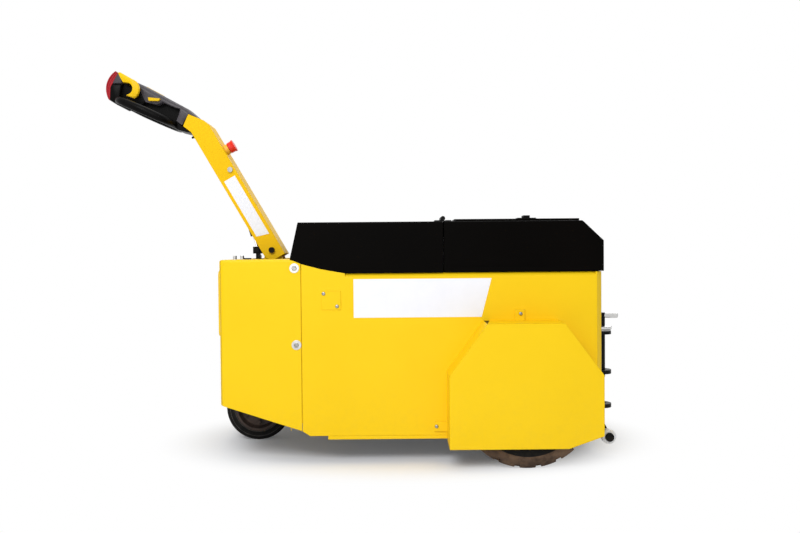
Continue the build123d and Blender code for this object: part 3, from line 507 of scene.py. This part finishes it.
def set_floor():
    """Pale floor that keeps the shadow near the machine, lightened there by a faint painted glow, and fades
    to white round it.
    """
    reach = 40.0
    corners = [(-reach, -reach, 0), (reach, -reach, 0), (reach, reach, 0), (-reach, reach, 0)]
    mesh = bpy.data.meshes.new("floor")
    mesh.from_pydata(corners, [], [(0, 1, 2, 3)])
    floor = bpy.data.objects.new("floor", mesh)
    bpy.context.scene.collection.objects.link(floor)
    paint = Paint("pale_floor")
    paint.set(Roughness=0.9, Specular_IOR_Level=0.05, Base_Color=(0.89, 0.905, 0.94, 1))
    nodes, links = paint.nodes, paint.links
    glow = nodes.new("ShaderNodeEmission")
    glow.inputs["Color"].default_value = (1, 1, 1, 1)
    footprint = nodes.new("ShaderNodeMapping")
    footprint.inputs["Location"].default_value = (-FOOT_MIDDLE_X / FOOT_REACH[0], 0, 0)
    footprint.inputs["Scale"].default_value = (1 / FOOT_REACH[0], 1 / FOOT_REACH[1], 1)
    links.new(paint.where, footprint.inputs["Vector"])
    distance = nodes.new("ShaderNodeVectorMath")
    distance.operation = "LENGTH"
    links.new(footprint.outputs["Vector"], distance.inputs[0])
    fade = nodes.new("ShaderNodeMapRange")
    fade.interpolation_type = "SMOOTHSTEP"
    fade.inputs["From Min"].default_value = FADE_START
    fade.inputs["From Max"].default_value = FADE_END
    # under the machine the floor still shows this share of white glow: painted light that lightens its
    # shadow
    fade.inputs["To Min"].default_value = 0.075
    links.new(distance.outputs["Value"], fade.inputs["Value"])
    choose = nodes.new("ShaderNodeMixShader")
    links.new(paint.times(fade.outputs["Result"], seen_rays(nodes, links)), choose.inputs["Fac"])
    links.new(paint.shader.outputs["BSDF"], choose.inputs[1])
    links.new(glow.outputs["Emission"], choose.inputs[2])
    links.new(choose.outputs["Shader"], nodes["Material Output"].inputs["Surface"])
    mesh.materials.append(paint.material)


def set_world():
    world = bpy.data.worlds.new("studio")
    bpy.context.scene.world = world
    world.use_nodes = True
    nodes, links = world.node_tree.nodes, world.node_tree.links
    light = nodes["Background"]
    light.inputs["Color"].default_value = (1, 1, 1, 1)
    light.inputs["Strength"].default_value = 0.37
    shown = nodes.new("ShaderNodeBackground")
    shown.inputs["Color"].default_value = (1, 1, 1, 1)
    shown.inputs["Strength"].default_value = 1.0
    choose = nodes.new("ShaderNodeMixShader")
    links.new(seen_rays(nodes, links), choose.inputs["Fac"])
    links.new(light.outputs["Background"], choose.inputs[1])
    links.new(shown.outputs["Background"], choose.inputs[2])
    links.new(choose.outputs["Shader"], nodes["World Output"].inputs["Surface"])


def set_lamps():
    # name, place, target, size and power
    lamp("key", (-0.8, -2.65, 2.5), (-0.1, 0.0, 0.4), (1.8, 1.4), 60.0)
    lamp("fill", (-0.3, -3.2, 0.9), (0.0, 0.0, 0.35), (1.8, 1.2), 11.5)
    lamp("top", (0.1, 0.2, 3.2), (0.0, 0.0, 0.3), (2.6, 2.0), 27.0)
    lamp("back", (2.2, 2.5, 2.0), (0.1, 0.0, 0.4), (1.8, 1.6), 34.0)
    bpy.context.scene.view_settings.view_transform = "Standard"


# Fasteners and small fittings

WASHER = 0.11               # thickness of a washer, as a share of its radius


def washer(shape, spot, outward, radius):
    thick = WASHER * radius
    shape.lathe([(0, radius), (thick * 0.7, radius), (thick, radius * 0.95), (thick, radius * 0.1)],
                place(spot, outward), 36)


def hex_bolt(shape, spot, outward, across, height, seat):
    """Hexagon head with a turned chamfer, on a washer of radius seat."""
    matrix = place(spot, outward)
    thick = WASHER * seat
    corner = across / sqrt(3)
    rings = []
    for level, share in ((thick, 1.0), (thick + height * 0.82, 1.0), (thick + height, 0.86)):
        reach = corner * share
        rings.append([(reach * cos(pi * k / 3), reach * sin(pi * k / 3), level) for k in range(6)])
    shape.loft(rings, matrix)


def dome_screw(shape, spot, outward, radius):
    """Low round head with a socket."""
    matrix = place(spot, outward)
    height = radius * 0.6
    shares = [(0, 1), (0.35, 1), (0.75, 0.86), (1, 0.55), (1, 0.42), (0.30, 0.40), (0.30, 0.02)]
    shape.lathe([(height * level, radius * reach) for level, reach in shares], matrix, 24)


def add_body_fasteners():
    # x and z in mm
    nose_bolts = [(-187.4, 541.5), (-183.4, 328.7)]
    panel_screws = [(-107.0, 470.6), (-70.0, 435.1)]
    fender_screws = [(437.6, 410.8), (203.0, 100.0)]
    panel_head, hatch_head, hitch_head = 0.0052, 0.006, 0.009
    nose_seat, deck_seat = 0.0135, 0.0065
    deck_y = 0.20
    bolts = Shape()
    washers = Shape()
    for sign in SIDES:
        outward = (0, sign, 0)
        for x, z in nose_bolts:
            spot = (x * MM, sign * PANEL_Y, z * MM)
            washer(washers, spot, outward, nose_seat)
            hex_bolt(bolts, spot, outward, across=0.0125, height=0.006, seat=nose_seat)
        for x, z in panel_screws:
            dome_screw(bolts, (x * MM, sign * (PANEL_Y + SIDE_PLATE), z * MM), outward, panel_head)
        for x, z in fender_screws:
            dome_screw(bolts, (x * MM, sign * (PANEL_Y + FENDER_TAB), z * MM), outward, panel_head)
    for y in (-0.215, 0.0, 0.215):
        for z in (0.362, 0.522):
            dome_screw(bolts, (NOSE_X - HATCH, y, z), (-1, 0, 0), hatch_head)
    for y in (-0.063, 0.063):
        for z in (0.140, 0.255, 0.338):
            dome_screw(bolts, (HITCH_FACE_X, y, z), (1, 0, 0), hitch_head)
    for sign in SIDES:
        for x in (-0.371, -0.350):
            spot = (x, sign * deck_y, DECK_Z)
            washer(washers, spot, (0, 0, 1), deck_seat)
            hex_bolt(bolts, spot, (0, 0, 1), across=0.0095, height=0.0105, seat=deck_seat)
    bolts.make("body_fasteners", zinc, "chassis")
    washers.make("body_washers", bright_zinc, "chassis")


def add_floor_edges():
    """Painted edges of the floor plate, below the panels."""
    low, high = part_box("floor_plate")
    tyre_gap = 0.016
    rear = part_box("drive_tyre_left")[0].x - tyre_gap
    film = 0.0006
    for sign, name in NAMED_SIDES:
        strip = Shape()
        rings = []
        for lift, drawn in ((-0.001, 0.0), (0.5 * film, 0.0), (film, 0.0005)):
            outline = [(low.x + drawn, low.z + drawn), (rear, low.z + drawn), (rear, high.z),
                       (low.x + drawn, high.z)]
            rings.append([(x, sign * (PANEL_Y + lift), z) for x, z in outline])
        strip.loft(rings)
        strip.make(f"floor_edge_{name}", yellow, "chassis")


def add_seam_strips():
    """Folded edges that close the seams between the nose and the side panels."""
    panel_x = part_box("side_panel_left")[0].x
    front, back = panel_x - 1.4 * MM, panel_x - 0.1 * MM
    middle = (front + back) / 2
    foot, top = 0.0900, 0.5505
    strips = Shape()
    for sign in SIDES:
        inside = sign * (PANEL_Y - 3.4 * MM)
        shoulder = sign * (PANEL_Y - 1.3 * MM)
        crown = sign * (PANEL_Y - 1.0 * MM)
        section = [(front, inside), (front, shoulder), (middle, crown), (back, shoulder), (back, inside)]
        strips.loft([[(*point, z) for point in section] for z in (foot, top)])
    strips.make("seam_strips", yellow, "chassis")


def add_pin_ring():
    """Plated ring that lies round the drop pin's flange."""
    low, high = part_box("tow_pin")
    middle = (low + high) / 2
    collar_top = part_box("pin_collar")[1].z
    ring = Shape()
    profile = [(0.0008, 0.0308), (0.0030, 0.0318), (0.0060, 0.0320), (0.0085, 0.0312), (0.0098, 0.0285),
               (0.0098, 0.0150)]
    ring.lathe(profile, Matrix.Translation((middle.x, middle.y, collar_top)), 40)
    ring.make("drop_pin_ring", bright_zinc, "drop_pin")


def add_deck_straps():
    """Flat black straps on the deck beside the tiller's opening."""
    strap_y = 0.186
    outline = rounded([(-0.354, -0.006), (-0.326, -0.006), (-0.326, 0.006), (-0.354, 0.006)], 0.004)
    levels = ((DECK_Z, 1.0), (DECK_Z + 0.003, 1.0), (DECK_Z + 0.004, 0.9))
    middle = Vector((-0.340, 0.0))
    straps = Shape()
    for sign in SIDES:
        rings = []
        for z, share in levels:
            spots = [middle + (point - middle) * share for point in outline]
            rings.append([(spot.x, spot.y + sign * strap_y, z) for spot in spots])
        straps.loft(rings)
    straps.make("deck_straps", satin, "chassis")


def add_arm_screws():
    """Screw ends that stand out under the arm, near its head."""
    along, across = 422.0, 0.042
    profile = [(0, 0.0046), (0.0022, 0.0046), (0.0024, 0.0030), (0.0066, 0.0030), (0.0072, 0.0022)]
    down = arm_point(0, -1) - arm_point(0, 0)
    screws = Shape()
    for sign in SIDES:
        screws.lathe(profile, place(arm_point(along, -ARM_HALF_DEPTH, sign * across), down), 16)
    screws.make("arm_screw_ends", satin, "tiller")


def add_side_plates():
    """Thin cover plates over the panels' cable holes."""
    outline = rounded([(-114.0, 425.0), (-59.0, 425.0), (-59.0, 478.0), (-114.0, 478.0)], 3.0)
    middle = Vector((-86.5, 451.5))
    for sign, name in NAMED_SIDES:
        plate = Shape()
        rings = []
        for lift, share in ((0.0, 1.0), (0.7 * SIDE_PLATE, 1.0), (SIDE_PLATE, 0.985)):
            spots = [(middle + (point - middle) * share) * MM for point in outline]
            rings.append([(spot.x, sign * (PANEL_Y + lift), spot.y) for spot in spots])
        plate.loft(rings)
        plate.make(f"side_plate_{name}", yellow, "chassis")


def add_fold_relief_shades():
    """Solid dark wedges where the fenders' flanges meet at their front folds: painted shade for the shadow
    inside the open notches there.
    """
    tyre_low, tyre_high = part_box("drive_tyre_left")
    ahead = 0.109
    fold = (tyre_low.x + tyre_high.x) / 2 - ahead
    top = 0.392
    relief_shades = Shape()
    for sign in SIDES:
        near = sign * (FENDER_Y - 0.003)
        far = sign * (PANEL_Y + 0.002)
        points = [(fold, near), (fold + 0.016, far), (fold, far)]
        relief_shades.loft([[(*point, z) for point in points] for z in (top - 0.002, top + 0.0003)])
    relief_shades.make("fender_fold_relief_shades", satin, "chassis")


def battery_link(shape, points, across):
    """Flat arched bar from post to post."""
    line = smooth_line(points, 6)
    shape.tube(line, [(0.008, 0.0025)] * len(line), across, 12)


def add_battery_fittings():
    """Terminals, links and filler caps on the four battery blocks."""
    low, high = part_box("battery_pack")
    middle = (low + high) / 2
    quarter = (high - low) / 4
    posts = Shape()
    links = Shape()
    caps = Shape()
    # shares of a quarter of the pack: from a block's middle to its posts
    post_inset = 0.62
    post_row = 0.45
    for along in SIDES:
        for across in SIDES:
            centre = Vector((middle.x + along * quarter.x, middle.y + across * quarter.y, high.z))
            for step in SIDES:
                spot = centre + Vector((step * post_inset * quarter.x, -across * post_row * quarter.y, 0))
                posts.lathe([(0, 0.012), (0.003, 0.012), (0.0035, 0.009), (0.015, 0.008), (0.016, 0.006)],
                            Matrix.Translation(spot), 20)
            for k in range(3):
                spot = centre + Vector(((k - 1) * 0.5 * quarter.x, across * 0.35 * quarter.y, 0))
                caps.lathe([(0, 0.013), (0.006, 0.0125), (0.008, 0.011), (0.008, 0.004), (0.005, 0.003)],
                           Matrix.Translation(spot), 20)
    rise = Vector((0, 0, 0.006))
    level = high.z + 0.010
    row = (1 - post_row) * quarter.y
    for across in SIDES:
        spot = Vector((middle.x, middle.y + across * row, level))
        reach = Vector(((1 - post_inset) * quarter.x, 0, 0))
        battery_link(links, [spot - reach, spot + rise, spot + reach], Vector((0, 1, 0)))
    spot = Vector((middle.x + (1 + post_inset) * quarter.x, middle.y, level))
    reach = Vector((0, row, 0))
    battery_link(links, [spot - reach, spot + rise, spot + reach], Vector((1, 0, 0)))
    posts.make("battery_posts", lead_grey, "chassis")
    links.make("battery_links", satin, "chassis")
    caps.make("battery_caps", stop_red, "chassis")


# Blank labels

def add_labels():
    film = 0.0004
    outline = [(-24.0, 510.0), (358.0, 510.0), (330.0, 403.0), (-24.0, 403.0)]
    for sign, name in NAMED_SIDES:
        label = Shape()
        near = sign * PANEL_Y
        far = sign * (PANEL_Y + film)
        label.loft([[(x * MM, y, z * MM) for x, z in outline] for y in (near, far)])
        label.make(f"side_label_{name}", label_white, "chassis")
    outline = [(48.0, 18.5), (256.0, 18.5), (256.0, -19.5), (60.0, -19.5)]
    for sign, name in NAMED_SIDES:
        label = Shape()
        sides = [sign * ARM_Y, sign * (ARM_Y + film)]
        label.loft([[arm_point(along, out, y) for along, out in outline] for y in sides])
        label.make(f"tiller_label_{name}", label_white, "tiller")


# Tiller head: moulded shell, hand loops, ribbed end button and emergency stop

SHELL_EDGE = 15.0           # mm, like all sizes of the head below
# along, top, bottom, half width
SHELL_STATIONS = [
    (5.0, -2.0, -2.8, 42.0), (20.0, 1.4, -4.0, 44.0), (39.5, 5.6, -6.4, 45.0),
    (40.5, 5.8, -45.6, 45.0), (52.0, 8.0, -44.0, 45.5), (61.0, 7.9, -42.2, 46.0),
    (64.0, 7.8, -22.0, 46.0), (68.0, 7.7, -4.6, 46.0), (86.0, 7.5, -9.0, 46.0),
    (106.0, 7.2, -10.8, 46.0), (126.0, 7.0, -12.6, 46.0), (132.0, 6.9, -20.0, 46.0),
    (139.0, 6.8, -27.6, 46.0), (172.0, 6.4, -37.8, 46.0), (183.0, 6.2, -30.3, 46.0),
    (192.0, 6.1, -24.2, 46.0), (203.0, 5.9, -16.5, 46.0), (214.0, 4.9, -9.2, 46.0),
    (240.0, 2.85, -9.1, 46.0), (262.0, 1.1, -9.1, 46.0), (275.5, 0.0, -1.5, 46.0),
]
# along, up
CHEEK = [(276.0, -0.2), (283.9, -2.2), (283.9, -38.2), (258.4, -24.4), (262.0, -9.4)]


def shell_ring(along, top, bottom, half):
    """Section across the shell: drawn-in sides and a round-edged, slightly crowned top."""
    edge = min(SHELL_EDGE, (top - bottom) * 0.8)
    side = [(half - 1.5, bottom), (half - 0.4, between(bottom, top - edge, 0.5))]
    for step in range(7):
        turn = pi / 2 * step / 6
        side.append((half - edge + edge * cos(turn), top - 1.5 - edge + edge * sin(turn)))
    side.append((half * 0.35, top - 0.3))
    outline = side + [(-y, v) for y, v in reversed(side)] + [(-half * 0.4, bottom), (half * 0.4, bottom)]
    return [head_point(along, v, y) for y, v in outline]


def add_head_shell():
    shell = Shape()
    shell.loft([shell_ring(*station) for station in SHELL_STATIONS])
    head_block(shell, rounded(CHEEK, 3.0), 58.0, 5.0)
    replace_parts(shell.make("head_shell", head_grey, "tiller", 42.0), "head_body")
    strip = Shape()
    rings = []
    for along, wide in ((146.0, 5.0), (151.0, 9.0), (201.0, 9.0), (206.0, 5.0)):
        top = 7.2 - (along - 120.0) * 0.014
        section = [(-wide, top - 2), (-wide * 0.8, top + 0.7), (wide * 0.8, top + 0.7), (wide, top - 2)]
        rings.append([head_point(along, up, across) for across, up in section])
    strip.loft(rings)
    strip.make("head_top_switch", control_yellow, "tiller", 40.0)


LOOP_DROP = 49.5
LOOP_TILT = HEAD_TILT - radians(5.7)
# along, across
LOOP_ROUTE = [(60, 22), (68, 54), (78, 80), (94, 98), (120, 106), (150, 110.8), (186, 106), (212, 99),
              (228, 86), (241, 62), (252, 40)]
GRIP_R = 12.0


def loop_point(along, across):
    origin = head_point(0, -LOOP_DROP)
    return Vector((
        origin.x - along * MM * cos(LOOP_TILT),
        across * MM,
        origin.z + along * MM * sin(LOOP_TILT),
    ))


def add_hand_loops():
    grip = Shape()
    upright = Vector((sin(LOOP_TILT), 0, cos(LOOP_TILT)))
    for sign in SIDES:
        line = smooth_line([loop_point(along, sign * across) for along, across in LOOP_ROUTE], 5)
        radii = []
        for k in range(len(line)):
            swell = sin(pi * k / (len(line) - 1))
            radii.append((GRIP_R * MM * (0.84 + 0.22 * swell), GRIP_R * MM * (0.90 + 0.10 * swell)))
        grip.tube(line, radii, upright, 24)
    stem = [(62, -42.4), (66.5, -4.6), (86, -9.4), (126, -13), (137, -27.4), (172, -38.4), (192, -24.4),
            (214, -9.4), (262, -9.4), (258, -24.5), (246, -72), (124, -57), (62, -50)]
    grip.loft([[head_point(along, up, y) for along, up in stem] for y in (-21.5, -19.0, 19.0, 21.5)])
    neck = [(20, -58), (9, -52.4), (37, -47.4), (62, -43), (71.5, -46.4), (77.5, -54), (73.5, -64),
            (44, -64.5)]
    head_block(grip, rounded(neck, 3.0), 40.0, 8.0)
    housing = [(172, -38.4), (192, -24.4), (214, -9.4), (262, -9.4), (258, -24.5), (250, -62), (190, -60)]
    head_block(grip, rounded(housing, 3.0), 44.0, 4.0)
    end = [(283.9, -38.8), (258, -24.8), (246, -56), (236, -88.2), (266, -86.8), (283.9, -50)]
    head_block(grip, rounded(end, 5.0), 58.0, 7.0)
    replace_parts(grip.make("hand_loops", head_black, "tiller", 38.0), "head_grip")


# along, up
END_FACE = [(284.0, -2.0), (284.0, -50.0), (266.0, -87.0)]
BUTTON_ARC = [(295.0, 1.0), (297.6, -56.0), (272.5, -85.5)]
BUTTON_HALF = 54.0
# share of the way out from the end face, inset
BUTTON_RIBS = [
    (0.0, 1.0), (0.04, 0.2), (0.30, 0.2), (0.34, 1.6), (0.38, 0.2), (0.62, 0.2), (0.66, 1.6), (0.70, 0.2),
    (0.88, 0.4), (0.96, 2.0), (1.0, 5.0),
]


def arc_through(points, count):
    """Points evenly along the circle through three (along, up) points."""
    a, b, c = (Vector(point) for point in points)
    twice_area = 2 * (a.x * (b.y - c.y) + b.x * (c.y - a.y) + c.x * (a.y - b.y))
    weighed = [(a.dot(a), b - c), (b.dot(b), c - a), (c.dot(c), a - b)]
    centre_x = sum(weight * side.y for weight, side in weighed) / twice_area
    centre_y = sum(-weight * side.x for weight, side in weighed) / twice_area
    centre = Vector((centre_x, centre_y))
    sweep = (a - centre).angle_signed(c - centre)
    line = []
    for k in range(count):
        line.append(centre + Matrix.Rotation(-sweep * k / (count - 1), 2) @ (a - centre))
    return line


def add_end_button():
    """Red belly button: three soft ribs that follow its outline, and a smooth curved face."""
    count = 21
    outer = arc_through(BUTTON_ARC, count)
    corner = Vector(END_FACE[1])
    first = (corner - Vector(END_FACE[0])).length
    whole = first + (Vector(END_FACE[2]) - corner).length
    inner = []
    for k in range(count):
        run = whole * k / (count - 1)
        if run < first:
            inner.append(Vector(END_FACE[0]).lerp(corner, run / first))
        else:
            inner.append(corner.lerp(Vector(END_FACE[2]), (run - first) / (whole - first)))
    rings = []
    for share, inset in BUTTON_RIBS:
        half = BUTTON_HALF - inset
        shrink = inset / whole
        line = []
        for k in range(count):
            spot = between(shrink, 1 - shrink, k / (count - 1)) * (count - 1)
            low = min(int(spot), count - 2)
            rest = spot - low
            start = inner[low].lerp(inner[low + 1], rest)
            finish = outer[low].lerp(outer[low + 1], rest)
            line.append(start.lerp(finish, share))
        ring = [head_point(point.x, point.y, -half) for point in line]
        rings.append(ring + [head_point(point.x, point.y, half) for point in reversed(line)])
    button = Shape()
    button.loft(rings, capped=False)
    around = 2 * count
    for start in (0, (len(rings) - 1) * around):
        for k in range(count - 1):
            across = start + around - 1 - k
            button.faces.append([start + k, start + k + 1, across - 1, across])
    piece = button.make("end_button", cap_red, "tiller", 50.0)
    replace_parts(piece, "belly_button")


# along, up
PADDLE_TOP = [(278.0, -1.0), (273.5, 3.5)]
PADDLE_OUTSIDE = [(231.0, 3.2), (197.5, -14.0), (200.0, -45.0)]
PADDLE_TIP = (222.6, -49.4)
PADDLE_INSIDE = [(221.0, -44.5), (216.0, -24.0), (237.0, -12.9)]
PADDLE_UNDER = [(251.5, -19.0), (265.6, -10.5)]
# across, inset of the soft edges
PADDLE_SECTIONS = [(60.0, 1.2), (61.2, 0.0), (69.6, 0.0), (71.2, 0.6), (72.0, 2.0)]
# along, up, across
PADDLE_BOSS = (206.5, -14.0, 46.0)
PADDLE_BOSS_R = 5.0
PADDLE_BOSS_REACH = 18.0


def drawn_in(outline, inset):
    """Closed outline, drawn the way round that keeps its inside on the left, moved in by inset."""
    line = []
    for before, here, after in zip(outline[-1:] + outline[:-1], outline, outline[1:] + outline[:1]):
        run = (after - before).normalized()
        line.append(here + Vector((-run.y, run.x)) * inset)
    return line


def add_paddles():
    """C-shaped thumb paddles with soft edges, one each side of the head on a short boss."""
    outline = [Vector(point) for point in PADDLE_TOP]
    outline += arc_through(PADDLE_OUTSIDE, 17)
    outline.append(Vector(PADDLE_TIP))
    outline += arc_through(PADDLE_INSIDE, 15)
    outline += [Vector(point) for point in PADDLE_UNDER]
    along, up, start = PADDLE_BOSS
    paddles = Shape()
    bosses = Shape()
    for sign in SIDES:
        rings = []
        for across, inset in PADDLE_SECTIONS:
            line = drawn_in(outline, inset)
            rings.append([head_point(point.x, point.y, sign * across) for point in line])
        paddles.loft(rings)
        profile = [(0, PADDLE_BOSS_R * MM), (PADDLE_BOSS_REACH * MM, PADDLE_BOSS_R * MM)]
        bosses.lathe(profile, place(head_point(along, up, sign * start), (0, sign, 0)), 24)
    bosses.make("paddle_bosses", head_black, "tiller")
    piece = paddles.make("thumb_paddles", control_yellow, "tiller", 40.0)
    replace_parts(piece, "paddles")


STOP_ALONG = 346.0
# height, radius
STOP_RING = [(0, 17.0), (1.0, 17.0), (2.2, 16.7), (9.6, 15.95), (10.6, 15.6), (11.0, 15.0), (11.0, 6.0)]
STOP_HEAD = [
    (11.0, 9.0), (12.0, 9.0), (12.05, 16.6), (12.8, 17.4), (14.0, 17.5), (18.5, 17.2), (23.5, 17.5),
    (27.5, 18.6), (29.0, 19.2), (30.3, 19.2), (31.2, 18.4), (31.5, 17.0), (31.5, 10.0), (31.0, 0.4),
]


def add_emergency_stop():
    matrix = place(arm_point(STOP_ALONG, ARM_HALF_DEPTH), arm_point(0, 1) - arm_point(0, 0))
    ring = Shape()
    ring.lathe([(height * MM, radius * MM) for height, radius in STOP_RING], matrix, 48)
    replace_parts(ring.make("stop_ring", stop_amber, "tiller"), "stop_collar")
    head = Shape()
    head.lathe([(height * MM, radius * MM) for height, radius in STOP_HEAD], matrix, 56)
    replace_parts(head.make("stop_head", stop_red, "tiller", 40.0), "stop_button")


# Wheels

NOTCHES = 20
NOTCH_FLOOR = 176.0         # mm, like all sizes of the wheels below
NOTCH_INNER = 22.0          # from the tyre's middle to the inner end of a notch
# half of the drive tyre's section: across, radius
DRIVE_SECTION = [
    (46.0, 104.2), (46.2, 112.5), (49.0, 117.0), (50.3, 121.0), (50.3, 151.0), (51.8, 154.0), (51.0, 164.0),
    (48.5, 171.0), (45.5, 178.0), (41.5, 183.4), (37.0, 185.6), (32.0, 186.0), (22.3, 186.0), (21.7, 186.0),
    (10.0, 185.9),
]
# dark rubber side wall inside the dusty shoulder
SIDE_WALL = [
    (48.0, 116.2), (50.9, 121.0), (51.5, 123.5), (51.5, 128.0), (50.8, 129.2), (50.8, 131.8), (51.5, 133.0),
    (51.5, 149.5), (50.9, 152.5), (49.5, 153.4),
]
WHEEL_NUTS = 5
NUT_CIRCLE_R = 70.0
NUT_ACROSS = 4.0
NUT_SEAT = 14.0


def wheel_point(centre, across, radius, turn):
    """Point of a wheel, from mm across its middle and out from its axle, at a turn."""
    out = radius * MM
    return (centre.x + out * cos(turn), centre.y + across * MM, centre.z + out * sin(turn))


def mirrored(section):
    return section + [(-across, radius) for across, radius in reversed(section)]


def turned_ring(shape, centre, section, steps):
    """Section of (across, radius) points turned about the wheel's axle."""
    rings = []
    for k in range(steps):
        turn = 2 * pi * k / steps
        rings.append([wheel_point(centre, across, radius, turn) for across, radius in section])
    shape.loft(rings, closed=True)


def add_drive_tyres():
    pitch = 2 * pi / NOTCHES
    half_notch = radians(2.3)
    steps = []
    for k in range(NOTCHES):
        for centre, here in ((k * pitch, 1), ((k + 0.5) * pitch, -1)):
            for turn, inside in ((-1.12, 0), (-0.92, here), (0.0, here), (0.92, here), (1.12, 0)):
                steps.append((centre + turn * half_notch, inside))
            steps.append((centre + pitch / 4, 0))
    section = mirrored(DRIVE_SECTION)
    for sign, name in NAMED_SIDES:
        low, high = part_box(f"drive_tyre_{name}")
        centre = (low + high) / 2
        rings = []
        for turn, notch in steps:
            ring = []
            for across, radius in section:
                if notch and across * notch > NOTCH_INNER:
                    radius = min(radius, NOTCH_FLOOR)
                ring.append(wheel_point(centre, across, radius, turn))
            rings.append(ring)
        tyre = Shape()
        tyre.loft(rings, closed=True)
        piece = tyre.make(f"drive_tread_{name}", drive_rubber, f"drive_wheel_{name}", 35.0)
        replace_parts(piece, f"drive_tyre_{name}")
        walls = Shape()
        for face in SIDES:
            turned_ring(walls, centre, [(face * across, radius) for across, radius in SIDE_WALL], 96)
        walls.make(f"drive_side_walls_{name}", front_rubber, f"drive_wheel_{name}", 35.0)
        nuts = Shape()
        for k in range(WHEEL_NUTS):
            turn = 2 * pi * k / WHEEL_NUTS
            spot = wheel_point(centre, sign * NUT_ACROSS, NUT_CIRCLE_R, turn)
            washer(nuts, spot, (0, sign, 0), NUT_SEAT * MM)
            hex_bolt(nuts, spot, (0, sign, 0), across=0.019, height=0.013, seat=NUT_SEAT * MM)
        nuts.make(f"wheel_nuts_{name}", zinc, f"drive_wheel_{name}")


# half of the front tyre's section
FRONT_SECTION = [
    (29.5, 72.2), (29.9, 76.0), (29.0, 78.0), (29.0, 84.0), (29.9, 86.0), (29.9, 91.0), (28.6, 94.5),
    (26.0, 97.8), (22.0, 99.6), (17.0, 100.0), (9.2, 99.9), (8.6, 98.4), (6.4, 98.4), (5.8, 99.9),
]
BEAD_RADII = (73.5, 87.5)   # thin worn ribs round the tyre's sides
HUB_BOLTS = 6
HUB_CIRCLE_R = 46.0
HUB_ACROSS = 12.0
HUB_SEAT = 7.5


def add_front_wheel():
    low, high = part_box("front_tyre")
    centre = (low + high) / 2
    tyre = Shape()
    turned_ring(tyre, centre, mirrored(FRONT_SECTION), 120)
    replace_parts(tyre.make("front_tread", front_rubber, "front_wheel", 35.0), "front_tyre")
    beads = Shape()
    bolts = Shape()
    for sign in SIDES:
        for radius in BEAD_RADII:
            bead = [(29.2, radius - 0.8), (30.0, radius - 0.5), (30.0, radius + 0.5), (29.2, radius + 0.8)]
            turned_ring(beads, centre, [(sign * across, r) for across, r in bead], 96)
        for k in range(HUB_BOLTS):
            turn = 2 * pi * (k + 0.5) / HUB_BOLTS
            spot = wheel_point(centre, sign * HUB_ACROSS, HUB_CIRCLE_R, turn)
            washer(bolts, spot, (0, sign, 0), HUB_SEAT * MM)
            hex_bolt(bolts, spot, (0, sign, 0), across=0.010, height=0.006, seat=HUB_SEAT * MM)
    beads.make("front_tyre_ribs", worn_rubber, "front_wheel")
    bolts.make("front_hub_bolts", wheel_iron, "front_wheel")


set_camera()
set_floor()
set_world()
set_lamps()
paint_frame()
add_body_fasteners()
add_floor_edges()
add_seam_strips()
add_pin_ring()
add_deck_straps()
add_arm_screws()
add_side_plates()
add_fold_relief_shades()
add_battery_fittings()
add_labels()
add_head_shell()
add_hand_loops()
add_end_button()
add_paddles()
add_emergency_stop()
add_drive_tyres()
add_front_wheel()
